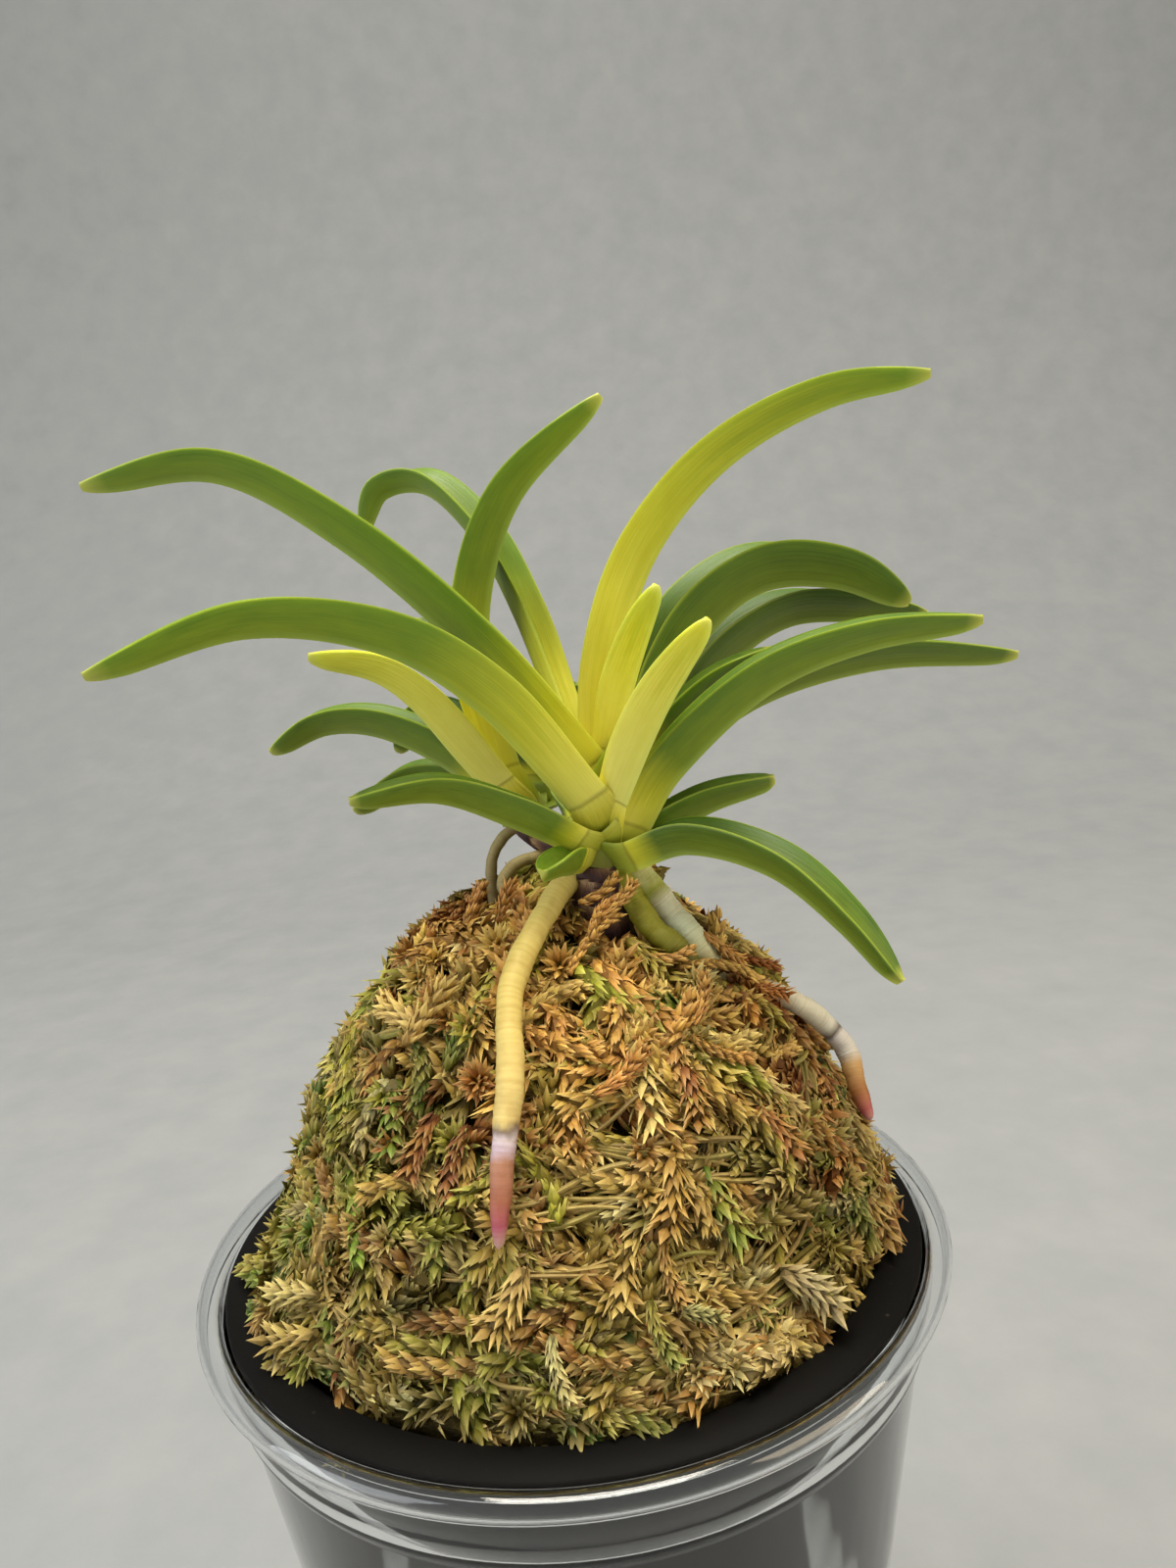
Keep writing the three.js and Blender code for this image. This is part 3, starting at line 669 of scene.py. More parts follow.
def leaf_skin():
    """Waxy leaf: yellow at the base and green beyond, with pale margins, keel and tip. The keel line
    is partly painted highlight, and the under face has painted sheen.
    """
    material, tree, skin = material_with("leaf_skin", Specular_IOR_Level=0.32, **FLESHY)
    along, lane, sun, tone, under = (
        value_of(tree, name) for name in ("along", "lane", "sun", "tone", "under")
    )
    veins = add(tree, "ShaderNodeGroup", {"Lane": lane, "Along": along}, node_tree=VEIN_STREAKS)
    streaks, mottle = veins.outputs["Streaks"], veins.outputs["Mottle"]
    off_fold = sums(tree, "ABSOLUTE", lane, 0)

    def mottled(first, last):
        return ramp(tree, mottle, (0.3, first), (0.7, last))

    # Tone is partly painted light: leaves that stand in shade are given a lighter green.
    green = blend(tree, tone, mottled("24450a", "36590c"), mottled("66900f", "86a414"))
    yellow = blend(
        tree, ranged(tree, tone, 0.3, 1.0), mottled("ccc81a", "dcd62e"),
        mottled("f2e424", "faf044"),
    )
    wobble = ranged(tree, streaks, 0.3, 0.7, -0.12, 0.12)
    turned = sums(tree, "ADD", sums(tree, "DIVIDE", along, sun), wobble)
    pale = sums(tree, "MULTIPLY", ranged(tree, turned, 0.0, 0.45, 0.5, 0.0), tone)
    yellow = blend(tree, pale, yellow, linear("fff4a0"))
    colour = blend(tree, ranged(tree, turned, 0.25, 1.0), yellow, green)
    # The pale keel line is partly the keel's own colour and partly a painted highlight along its
    # ridge.
    keel = sums(tree, "MULTIPLY", ranged(tree, off_fold, 0.1, 0.0, 0.0, 0.35), under)
    overlays = [
        (ranged(tree, streaks, 0.35, 0.65, 0.0, 0.14), "a9c247"),
        (ranged(tree, off_fold, 0.15, 0.85, 0.2, 0.0), "a3a81a"),
        # Painted sheen: the under face is mixed towards a greyish green, as if it catches the light.
        (ranged(tree, under, 0.0, 1.0, 0.0, 0.12), "8c9c44"),
        (ranged(tree, off_fold, 0.95, 1.0, 0.0, 0.5), "b8c640"),
        (keel, "b9cc66"),
        (ranged(tree, along, 0.955, 1.0, 0.0, 0.75), "c6c65c"),
        (ranged(tree, along, 0.009, 0.002, 0.0, 0.45), "7d7a14"),
    ]
    for share, tinge in overlays:
        colour = blend(tree, share, colour, linear(tinge))
    tree.links.new(colour, skin.inputs["Base Color"])
    tree.links.new(ranged(tree, mottle, 0.3, 0.7, 0.4, 0.54), skin.inputs["Roughness"])
    bumped(tree, skin, streaks, 0.22, 0.0003)
    return material


LEAF_SKIN = leaf_skin()
for fan, leaves in LEAVES.items():
    for leaf in leaves:
        node = f"{fan}_leaf_{leaf['name']}"
        slot = "leaf_young" if leaf["sun"] > 1 else "leaf_green"
        piece(node + "_blade", leaf_blade(leaf), LEAF_SKIN, slot, node)

# Stems: the sheaths at the foot of the leaves clasp the short stem, one over the other, and hide
# it. Each one ends in a crescent joint, where its blade will drop one day.

SEATED = 7
JOINT_GAP = 0.02
SHEATH_STEPS = 12
CORE_SIDES = 16
CORE_STEPS = 6


def stem_point(stem, share):
    return Vector(stem["foot"]).lerp(Vector(stem["head"]), share)


def sheath(stem, leaf):
    place, along, up = blade_spine(leaf)(0)
    axis = stem_point(stem, 1) - stem_point(stem, 0)
    reach = (place.z - SEATED - stem["foot"][2]) / axis.z
    low = stem_point(stem, min(0.9, max(0.05, reach)))
    end = place - along * JOINT_GAP
    after_low = low + axis.normalized() * SEATED * 0.4
    before_end = end - along * SEATED * 0.35

    def spine(share):
        t, u = share, 1 - share
        at = low * u ** 3 + after_low * 3 * u * u * t + before_end * 3 * u * t * t + end * t ** 3
        heading = (
            (after_low - low) * u * u + (before_end - after_low) * 2 * u * t
            + (end - before_end) * t * t
        ).normalized()
        across = heading.cross(up).normalized()
        return at, heading, across.cross(heading).normalized()

    def section(k, share):
        a, b = blade_section(leaf, k, 0)
        loose = 1.0 + 0.28 * math.sin(math.pi * min(1, 1.25 - 1.25 * share) / 2)
        return a * loose, b * loose

    def marks(k, share):
        lane, under = lane_of(k)
        return {"along": share, "lane": lane, "under": float(under), "tone": leaf["tone"]}

    return sweep(rod(BLADE_SIDES, SHEATH_STEPS), BLADE_SIDES, spine, section, marks)


def stem_core(stem):
    return sweep(
        rod(CORE_SIDES, CORE_STEPS), CORE_SIDES,
        upright_spine([stem_point(stem, share) for share in (0, 0.5, 1)], (0, -1, 0)),
        lambda k, share: ring_point(
            stem["radius"] * (1 - 0.35 * share) * 0.96, math.tau * k / CORE_SIDES
        ),
        lambda k, share: {"along": share, "lane": 0.5, "under": 1.0, "tone": 0.4},
    )


def sheath_skin():
    """Fleshy sheath: dull green at its foot, yellow at its joint, edged with a dark line."""
    material, tree, skin = material_with("sheath_skin", Specular_IOR_Level=0.4, **FLESHY)
    along, lane = value_of(tree, "along"), value_of(tree, "lane")
    veins = add(tree, "ShaderNodeGroup", {"Lane": lane, "Along": along}, node_tree=VEIN_STREAKS)
    old = ramp(tree, along, (0.0, "6b6a2a"), (0.35, "6f8a24"), (0.8, "8ca028"), (1.0, "a9b42e"))
    new = ramp(tree, along, (0.0, "8c9a26"), (0.35, "b4b822"), (0.8, "e8de48"), (1.0, "f0e860"))
    colour = blend(tree, value_of(tree, "tone"), old, new)
    streak = ranged(tree, veins.outputs["Streaks"], 0.35, 0.65, 0.0, 0.25)
    colour = blend(tree, streak, colour, linear("8d7a2c"))
    colour = blend(tree, ranged(tree, along, 0.96, 0.995, 0.0, 0.4), colour, linear("857a14"))
    tree.links.new(colour, skin.inputs["Base Color"])
    bumped(tree, skin, veins.outputs["Streaks"], 0.3, 0.0003)
    return material


SHEATH_SKIN = sheath_skin()
for fan, stem in STEMS.items():
    whole = stem_core(stem)
    for leaf in LEAVES[fan]:
        join_into(whole, sheath(stem, leaf))
    piece(fan + "_sheaths", whole, SHEATH_SKIN, "stem_sheath", fan + "_stem")

# Roots: thick aerial roots, wrapped in a spongy cream skin. They run over the moss and into it, and
# a growing one ends in a smooth tip the colour of wine.

# Seen is the share of the root that the moss leaves bare. Bands are its colours along its length.
ROOTS = [
    {"name": "root_front", "slot": "root_cream", "radius": 1.5, "growing": True, "seen": (0.0, 1.0),
     "path": [(5, -5.6, 157.4), (1.7, -11, 154.8), (-3, -20.4, 148.8), (-3.6, -27.4, 141.4),
              (-5, -32.2, 134), (-6, -35.6, 126.6)],
     "bands": [(0.0, "c8b968"), (0.45, "ceb866"), (0.73, "d0ba74"), (0.748, "7d6b5a"),
               (0.765, "ccbec2"), (0.79, "b9a4ae"), (0.82, "a8795f"), (0.9, "a4654c"),
               (0.95, "a24e5e"), (1.0, "c9a79a")]},
    {"name": "root_right", "slot": "root_cream", "radius": 1.8, "growing": False, "seen": (0.0, 0.62),
     "path": [(11, -6, 159.4), (13.7, -6.8, 155), (16.2, -7.6, 151.2), (18.6, -9.2, 148),
              (21, -8.6, 142.6)],
     "bands": [(0.0, "e6e09a"), (0.22, "d9dc8e"), (0.3, "b4bc4a"), (0.38, "e6e6c6"),
               (0.6, "d2d8b4"), (0.8, "dcd9a8"), (1.0, "cfc48c")]},
    {"name": "root_olive", "slot": "root_olive", "radius": 1.5, "growing": False, "seen": (0.0, 0.45),
     "path": [(10.4, -7.2, 156.6), (13.6, -10.2, 150.8), (16.2, -11.4, 148.4), (19, -11, 143.6)],
     "bands": [(0.0, "a9a834"), (0.4, "8d8a24"), (0.7, "767422"), (1.0, "6e6a2c")]},
    {"name": "root_far_right", "slot": "root_cream", "radius": 1.35, "growing": True,
     "seen": (0.42, 1.0),
     "path": [(27, -5, 139.6), (30.8, -7, 138.2), (34.2, -6, 134.8), (36.8, -6.4, 131),
              (37.2, -9.4, 127.8), (38, -12.4, 124.4)],
     "bands": [(0.0, "cfc8a8"), (0.42, "cfcbb8"), (0.47, "6d6358"), (0.5, "cfcac2"),
               (0.62, "c9c2b4"), (0.7, "b8925a"), (0.85, "9c6834"), (0.94, "9c4e48"),
               (1.0, "b98478")]},
    {"name": "root_dry_left", "slot": "root_dry", "radius": 0.75, "growing": False, "seen": (0.0, 0.8),
     "path": [(0.6, 6, 159.6), (-2.6, 5.8, 160.6), (-5.6, 5, 157.6), (-6.2, 4.2, 149)],
     "bands": [(0.0, "a99a66"), (0.5, "988a5a"), (1.0, "8d7f58")]},
    {"name": "root_dry_loop", "slot": "root_dry", "radius": 0.8, "growing": False, "seen": (0.0, 0.75),
     "path": [(2, 3.6, 157.4), (-2.6, 1.4, 157), (-4.4, -0.4, 154.8), (-1.4, -2, 152.4),
              (1.6, -2.2, 148.6)],
     "bands": [(0.0, "a59660"), (0.5, "94865a"), (1.0, "8d7f58")]},
]
ROOT_SIDES = 20
ROOT_STEPS = 110
TIP_FROM = 0.75  # where the wine-red tip of a growing root starts


def root_marks():
    """A group that turns a root's length into faint rings, with blotches and pits all over."""
    group, given = effect_group("root_marks", ("Along",), ("Blotches", "Rings", "Pits"))
    hoops = add(group, "ShaderNodeCombineXYZ", {2: given["Along"]}).outputs[0]
    add(group, "NodeGroupOutput", {
        "Blotches": noise(group, place_on(group, (1, 1, 0.5)), 420.0, 3.0),
        "Rings": noise(group, hoops, 80.0, 3.0),
        "Pits": noise(group, place_on(group, (0.5, 0.5, 2.2)), 900.0, 4.0),
    })
    return group


ROOT_MARKS = root_marks()


def root_skin(name, bands):
    """Spongy root skin with faint rings and pits. Its bands of colour run along the root."""
    material, tree, skin = material_with(
        name + "_skin", Roughness=0.55, Specular_IOR_Level=0.35, Subsurface_Weight=0.08,
        Subsurface_Scale=0.001,
    )
    along = value_of(tree, "along")
    marks = add(tree, "ShaderNodeGroup", {"Along": along}, node_tree=ROOT_MARKS).outputs
    shift = ranged(tree, marks["Blotches"], 0.3, 0.7, -0.012, 0.012)
    colour = ramp(tree, sums(tree, "ADD", along, shift), *bands)
    stain = ranged(tree, marks["Blotches"], 0.5, 0.72, 0.0, 0.35)
    colour = blend(tree, stain, colour, linear("b79b5c"), "MULTIPLY")
    ringed = ranged(tree, marks["Rings"], 0.36, 0.56, 0.3, 0.0)
    colour = blend(tree, ringed, colour, linear("cdb584"), "MULTIPLY")
    tree.links.new(colour, skin.inputs["Base Color"])
    bumped(tree, skin, marks["Pits"], 0.35, 0.0002)
    return material


def root(spec):
    def section(k, share):
        taper = 1.0
        if spec["growing"]:
            growing = max(0, share - TIP_FROM) / (1 - TIP_FROM)
            taper = 1 - 0.1 * smooth(share, TIP_FROM - 0.01, TIP_FROM + 0.01)
            taper *= (1 - 0.5 * growing ** 1.6) * max(0, 1 - growing ** 14) ** 0.5
        turn = math.tau * k / ROOT_SIDES
        knobs = 0.04 * math.sin(share * 23) + 0.025 * math.sin(share * 61 + turn)
        rings = 0.02 * math.sin(share * 260)
        return ring_point(max(0.05, spec["radius"] * taper * (1 + knobs + rings)), turn)

    spine = upright_spine(spec["path"], (0, -0.94, 0.34))
    return sweep(
        rod(ROOT_SIDES, ROOT_STEPS), ROOT_SIDES, spine, section,
        lambda k, share: {"along": share},
    )


for spec in ROOTS:
    skin = root_skin(spec["name"], spec["bands"])
    piece(spec["name"] + "_skin", root(spec), skin, spec["slot"], spec["name"])

# Moss: long strands of sphagnum, packed in the pot round the plant's roots and heaped over it by
# hand. The imported middle is painted near black, as the shade deep in the heap, and shows only in
# the gaps between the strands.

MOSS_CENTRE = 2
MOSS_HALF_WIDTH = 37
MOSS_HALF_DEPTH = 34.5
MOSS_SKIRT = 4.5
MOSS_HEIGHT = 48
MOSS_SQUARENESS = 1.12
MOSS_FOOT = 107.6
MOSS_DEEP = 2.2
PLUG_TOP = 39.3
PLUG_BASE = 26.6
PLUG_FLOOR = 36.9


def moss_point(turn, climb, deep=0.0):
    """A point on the mound: turn is its compass angle, and climb is a quarter turn on top."""
    lumps = (
        1.1 * math.sin(3 * turn + 0.7) * math.sin(4 * climb + 0.4)
        + 0.8 * math.sin(5 * turn + 2.1) * math.sin(7 * climb + 1.3)
    )
    rise = lumps * math.cos(climb) + MOSS_SKIRT * (1 - math.sin(climb)) ** 4 - deep
    out = max(0, math.cos(climb)) ** MOSS_SQUARENESS
    return Vector((
        MOSS_CENTRE * smooth(climb, 0, 0.5) + (MOSS_HALF_WIDTH * out + rise) * math.cos(turn),
        (MOSS_HALF_DEPTH * out + rise) * math.sin(turn),
        MOSS_FOOT + math.sin(climb) ** MOSS_SQUARENESS * (MOSS_HEIGHT - deep),
    ))


def moss_frame(turn, climb):
    """A point on the mound with the level way round it, the way uphill and the way out."""
    point = moss_point(turn, climb)
    round_it = (moss_point(turn + 0.02, climb) - point).normalized()
    uphill = (moss_point(turn, climb + 0.02) - point).normalized()
    return point, round_it, uphill, round_it.cross(uphill).normalized()


def packed_moss():
    material, tree, skin = material_with("packed_moss", Roughness=0.9, Specular_IOR_Level=0.1)
    clumps = noise(tree, place_on(tree, (1, 1, 1.6)), 260.0, 6.0, 0.7)
    # Painted shade: the heart is coloured near black, for the shade deep in the gaps between strands.
    colour = ramp(tree, clumps, (0.3, "1d180c"), (0.5, "3c3216"), (0.7, "6a5a2c"))
    tree.links.new(colour, skin.inputs["Base Color"])
    bumped(tree, skin, clumps, 1.0, 0.002)
    return material


heap = bmesh.new()
bmesh.ops.create_uvsphere(heap, u_segments=96, v_segments=64, radius=1)
for vert in heap.verts:
    turn, tilt = math.atan2(vert.co.y, vert.co.x), math.asin(max(-1, min(1, vert.co.z)))
    if tilt > 0:
        place = moss_point(turn, tilt, MOSS_DEEP)
        place += place.normalized() * 0.6 * math.sin(9 * turn + 3 * tilt) * math.cos(11 * tilt)
        if tilt > 1.5:
            place.z = min(place.z, MOSS_FOOT + MOSS_HEIGHT - MOSS_DEEP)
    else:
        depth = -tilt / (math.pi / 2)
        wall = min(1, depth * 2)
        radius = mixed(PLUG_TOP, PLUG_BASE, wall) * (1 if depth < 0.5 else max(0, 2 - 2 * depth))
        height = mixed(MOSS_FOOT, PLUG_FLOOR, wall)
        place = Vector((radius * math.cos(turn), radius * math.sin(turn), height))
    vert.co = place * MM
bmesh.ops.recalc_face_normals(heap, faces=heap.faces)
piece("moss_heart", heap, packed_moss(), "sphagnum", "moss_mound")

# Moss strands: each one is a soft stem clad in tiny pointed leaves that lap like roof tiles and
# stand off at its end. Dead strands are tan, rusty or cream, and those that still grow are green.

SCALE_WIDE = 0.6
SCALE_THICK = 0.24
GOLDEN = math.radians(137.5)
STRAND_STEPS = 24
STRAND_SIDES = 5
DRAPE = 80


def scale_leaf(bm, foot, along, out, length, wide, fleck):
    """One tiny leaf: pointed at both ends, widest near its foot, with a ridge along its back."""
    verts = bmesh.ops.create_uvsphere(bm, u_segments=3, v_segments=2, radius=1)["verts"]
    reach, flecks = bm.verts.layers.float["reach"], bm.verts.layers.float["fleck"]
    for vert in verts:
        vert[reach] = (vert.co.z + 1) / 2
        vert[flecks] = fleck
        if abs(vert.co.z) < 0.5:
            vert.co.z -= 0.25
    side = along.cross(out).normalized()
    turned = Matrix((side, out, along)).transposed().to_4x4()
    size = Matrix.Diagonal((wide, SCALE_THICK, length / 2, 1))
    place = Matrix.Translation(foot + along * length / 2)
    bmesh.ops.transform(bm, matrix=place @ turned @ size, verts=verts)


def leafy_bmesh():
    bm = bmesh.new()
    for name in ("reach", "fleck"):
        bm.verts.layers.float.new(name)
    bm.verts.layers.float_color.new("tint")
    return bm


def strand(dice, length, width, curl, spread, leaf_length, count, flat=1.0):
    """A template of a strand, bent sideways by its curl and round the mound by its own drape."""
    at, heading, step = Vector((0, 0, 0)), -curl / 2, length / STRAND_STEPS
    line = []
    for i in range(STRAND_STEPS + 1):
        line.append(at.copy())
        at += Vector((math.cos(heading), math.sin(heading), 0)) * step
        heading += curl / STRAND_STEPS
    middle = line[STRAND_STEPS // 2].copy()
    for place in line:
        place -= middle
        place.z = -(place.x ** 2 + place.y ** 2) / DRAPE
    path = rounded_path(line[::4])
    core = sweep(
        rod(STRAND_SIDES, STRAND_SIDES), STRAND_SIDES, lambda share: (*path(share), Vector((0, 0, 1))),
        lambda k, share: ring_point(
            width * 0.3 * (0.5 + 0.5 * math.sin(math.pi * (0.1 + 0.8 * share))),
            math.tau * k / STRAND_SIDES,
        ),
        # Painted shade: the stem under the leaves gets a low reach, which the moss skin paints dark.
        lambda k, share: {"reach": 0.1, "fleck": 0.3},
    )
    bmesh.ops.scale(core, vec=(1 / MM, 1 / MM, 1 / MM), verts=core.verts)
    bm = leafy_bmesh()
    join_into(bm, core)
    for i in range(count):
        share = (i + 0.5) / count
        place, along = path(share * 0.97)
        turn = (i * GOLDEN) % math.radians(250) - math.radians(125)
        side = along.cross(Vector((0, 0, 1)))
        out = (Vector((0, 0, 1)) * math.cos(turn) * flat + side * math.sin(turn)).normalized()
        lean = math.radians(spread * (0.6 + 0.9 * share ** 2) + dice.gauss(0, 9))
        body = width / 2 * (0.55 + 0.45 * math.sin(math.pi * (0.12 + 0.76 * share)))
        foot = place + out * body * 0.5 - along * leaf_length * 0.25
        scale_leaf(
            bm, foot, along * math.cos(lean) + out * math.sin(lean),
            out * math.cos(lean) - along * math.sin(lean),
            leaf_length * dice.uniform(0.7, 1.25), SCALE_WIDE * dice.uniform(0.75, 1.3),
            dice.random(),
        )
    return mesh_of("strand", bm)


def tuft(dice, leaf_length, count):
    """A template of a strand's growing head, seen end on: a star of tiny leaves."""
    bm = leafy_bmesh()
    for i in range(count):
        high = 0.05 + 0.9 * (i + 0.5) / count
        out = Vector((*reversed(ring_point(math.sqrt(1 - high * high), i * GOLDEN)), high))
        face = Vector((0, 0, 1)) - out * out.z
        scale_leaf(
            bm, out * 0.35, out, face.normalized(), leaf_length * dice.uniform(0.8, 1.2),
            SCALE_WIDE, dice.random(),
        )
    return mesh_of("tuft", bm)


dice = random.Random(11)
ROPES = [
    strand(dice, 16, 3.9, 0.9, 10, 2.2, 62),
    strand(dice, 14, 3.5, -1.3, 12, 2.1, 56),
    strand(dice, 12, 4.0, 0.5, 15, 2.3, 50),
    strand(dice, 18, 3.2, -0.6, 9, 2.0, 66),
    strand(dice, 11, 3.5, 1.7, 13, 2.1, 44),
]
FEATHERS = [
    strand(dice, 10, 3.0, 0.3, 28, 2.9, 48, 0.45),
    strand(dice, 8, 2.8, -0.5, 34, 2.7, 42, 0.5),
    strand(dice, 12, 2.8, 0.7, 25, 2.6, 54, 0.6),
]
WISPS = [
    strand(dice, 15, 1.8, 0.8, 20, 1.8, 38),
    strand(dice, 12, 1.6, -1.1, 26, 1.8, 32),
]
TUFTS = [tuft(dice, 2.6, 28), tuft(dice, 2.1, 24)]

# Where each colour of strand gathers: (centre, reach, weight) of its patches, in millimetres.
FAMILIES = {
    "tan": {
        "base": 0.5, "colours": ["c4924a", "b58240", "cfa65c", "a2702f"],
        "patches": [((8, -14, 151), 18, 1.5), ((12, -25, 135), 14, 1.0), ((-10, -14, 147), 10, 0.7)],
    },
    # The straw patch on top, round (4, -14, 151), is painted light: pale strands where the light falls
    # strongest on the heap.
    "straw": {
        "base": 0.5, "colours": ["cdb066", "c2a052", "d8c07c", "b8964a"],
        "patches": [((14, -24, 130), 14, 0.9), ((-18, -24, 130), 16, 0.6), ((6, -34, 114), 14, 0.5),
                    ((4, -14, 151), 11, 1.2), ((-22, -18, 140), 9, 0.9)],
    },
    "rust": {
        "base": 0.05, "colours": ["b06a28", "96571f", "bf7c36", "824a1e"],
        "patches": [((28, -15, 136), 9, 2.6), ((32, -11, 128), 8, 2.4), ((-10, -26, 133), 6, 1.8),
                    ((-14, -24, 137), 6, 1.4), ((-15, -3, 150), 8, 1.6), ((24, -24, 113), 5, 0.8)],
    },
    "cream": {
        "base": 0.1, "colours": ["e0c88a", "d6ba74", "ead7a2", "d9cf9a"],
        "patches": [((31, -21, 115), 9, 1.1), ((16, -32, 115), 9, 0.6), ((-29, -22, 113), 7, 0.6)],
    },
    "olive": {
        "base": 0.4, "colours": ["94842f", "7f7228", "a3923c", "716824"],
        "patches": [((-8, -35, 113), 20, 0.9), ((0, -31, 125), 14, 0.7), ((-26, -24, 112), 10, 0.6)],
    },
    "lime": {
        "base": 0.28, "colours": ["a4a236", "96982c", "b4b04a", "868e2e"],
        "patches": [((-27, -18, 128), 14, 1.7), ((-20, -22, 138), 9, 0.9), ((29, -24, 120), 9, 1.6),
                    ((-33, -8, 118), 12, 1.5), ((-6, -37, 112), 10, 0.7)],
    },
    "green": {
        "base": 0.06, "colours": ["5e8426", "4e701a", "74962a", "88a834"],
        "patches": [((-35, -8, 120), 9, 1.6), ((-31, -21, 112), 8, 1.8), ((25, -24, 122), 5, 2.8),
                    ((17, -28, 126), 4, 2.4), ((4, -20, 145), 4, 1.4), ((-17, -20, 137), 4, 1.2),
                    ((6, -36, 117), 4, 0.9), ((22, -12, 144), 4, 0.9)],
    },
}

# Strands that stand out of the heap on the side that faces the viewer: what each one is like, its
# colour, and where it starts and ends in millimetres.
SHOWY = [
    (ROPES, "c08c46", (5, -16, 149), (15, -20, 141)),
    (ROPES, "b98544", (16, -21, 140), (23, -19, 136)),
    (ROPES, "c3924e", (3.5, -16.5, 149), (9, -12, 153)),
    (ROPES, "b07a3c", (6, -14, 152), (9.5, -11, 155)),
    (FEATHERS, "8a5226", (-9, -25, 136), (-12, -30, 128)),
    (FEATHERS, "94592a", (-12, -24, 137), (-16, -28, 130)),
    (FEATHERS, "dcbf7c", (-13, -17, 143), (-20, -9, 144)),
    (FEATHERS, "cfae6a", (-16, -18, 141), (-9, -15, 149)),
    (FEATHERS, "c08445", (5, -27, 137), (12, -22, 141)),
    (FEATHERS, "bf8a4c", (17, -19, 141), (19, -15, 147)),
    (FEATHERS, "9a6230", (15, -22, 139), (16, -26, 132)),
    (FEATHERS, "c49a4e", (13, -27, 131), (11, -32, 123)),
    (FEATHERS, "c08f4a", (10, -32, 124), (12, -35, 117)),
    (FEATHERS, "e3c47e", (-3, -34, 124), (-8, -37, 117)),
    (FEATHERS, "d8c8a0", (23, -28, 117), (30, -27, 110)),
    (FEATHERS, "e3d08c", (-27, -25, 117), (-35, -20, 114)),
    (FEATHERS, "dcc47a", (-27, -27, 113), (-35, -23, 110)),
    (FEATHERS, "d9d29a", (-2, -37, 118), (0, -40, 111)),
    (FEATHERS, "7d8f34", (8, -36, 120), (11, -39, 113)),
    (FEATHERS, "c3c284", (12, -35, 118), (17, -36, 117)),
    (FEATHERS, "b5703a", (22, -21, 133), (27, -22, 126)),
    (ROPES, "a8743a", (-9, -7, 149.5), (-5.5, -3.5, 156.5)),
    (ROPES, "96602c", (-13, -5, 146.5), (-9, -2.5, 153.5)),
    (FEATHERS, "a06a30", (-4.5, -8.5, 151.5), (-2, -5, 157)),
    (ROPES, "b58544", (5.6, -11.6, 153.6), (11, -10.4, 156.8)),
    (FEATHERS, "c3924e", (8, -13, 152.6), (12.4, -10.6, 156)),
    (ROPES, "b98c4e", (12.4, -14.2, 147.2), (18.6, -13, 147.4)),
    (ROPES, "c49a54", (16.5, -12.8, 146.6), (24, -10.4, 144.2)),
    (FEATHERS, "bf8a48", (19, -9.8, 148.6), (23.4, -9.6, 144.4)),
    (FEATHERS, "b06a2c", (24.6, -8.2, 140.8), (30, -8.6, 139)),
    (FEATHERS, "a5622c", (23.5, -4, 143), (28.5, -5.5, 141.6)),
]


def family_at(dice, place):
    """Draws a family of strands by how much of it grows round a place."""
    weights = []
    for family in FAMILIES.values():
        weight = family["base"]
        for centre, reach, more in family["patches"]:
            weight += more * math.exp(-((place - Vector(centre)).length / reach) ** 2)
        weights.append(weight)
    return dice.choices(list(FAMILIES), weights)[0]


BARE = [
    (rounded_path(spec["path"])(mixed(*spec["seen"], i / 32))[0], spec["radius"])
    for spec in ROOTS for i in range(33)
]
FEET = [
    (Vector(stem["foot"]).lerp(Vector(stem["rooted"][0]), share), stem["radius"] * 0.75)
    for stem in STEMS.values() for share in (0, 0.35, 0.7, 1)
]


def covers_plant(place, along, out, half):
    """Whether a strand laid here would lie on a bare root or cut into a stem's foot."""
    for share in (-1, -0.6, -0.2, 0.2, 0.6, 1):
        spot = place + along * half * share
        for point, radius in BARE:
            away = spot - point
            if away.length < radius + 1.9 and away.dot(out) > -radius - 1.0:
                return True
        for point, radius in FEET:
            if (spot - point).length < radius + 1.2:
                return True
    return False


def lay(whole, template, place, along, out, size, tint):
    """Adds a copy of a template, its x axis along and its z axis out, all in millimetres."""
    side = out.cross(along).normalized()
    turned = Matrix((along, side, along.cross(side))).transposed().to_4x4()
    copy = template.copy()
    copy.transform(Matrix.Scale(MM, 4) @ Matrix.Translation(place) @ turned @ Matrix.Scale(size, 4))
    copy.attributes["tint"].data.foreach_set("color", tint * len(copy.vertices))
    whole.from_mesh(copy)
    bpy.data.meshes.remove(copy)


def tinted_with_painted_light(colour, shade, place):
    """A strand's colour with painted light: lighter on top of the heap and darker lower down."""
    # Painted light: strands low on the heap are darkened and those on top lightened, for the light
    # from above.
    shade *= mixed(0.68, 1.35, smooth(place.z, 118, 154))
    return [*(part * shade for part in linear(colour)[:3]), 1]


def strew(dice, point, along, out, templates, half=6.0):
    """Lays one strand of a colour that gathers here, unless it would cover the plant."""
    if covers_plant(point, along, out, half):
        return
    name = family_at(dice, point)
    tipped = (along + out * dice.uniform(-0.1, 0.25)).normalized()
    upright = (out - tipped * out.dot(tipped)).normalized()
    upright = Matrix.Rotation(dice.uniform(-0.4, 0.4), 3, tipped) @ upright
    tint = tinted_with_painted_light(dice.choice(FAMILIES[name]["colours"]), dice.uniform(0.8, 1.2), point)
    lay(heaps[name], dice.choice(templates), point, tipped, upright, dice.uniform(0.85, 1.12), tint)


heaps = {name: leafy_bmesh() for name in FAMILIES}

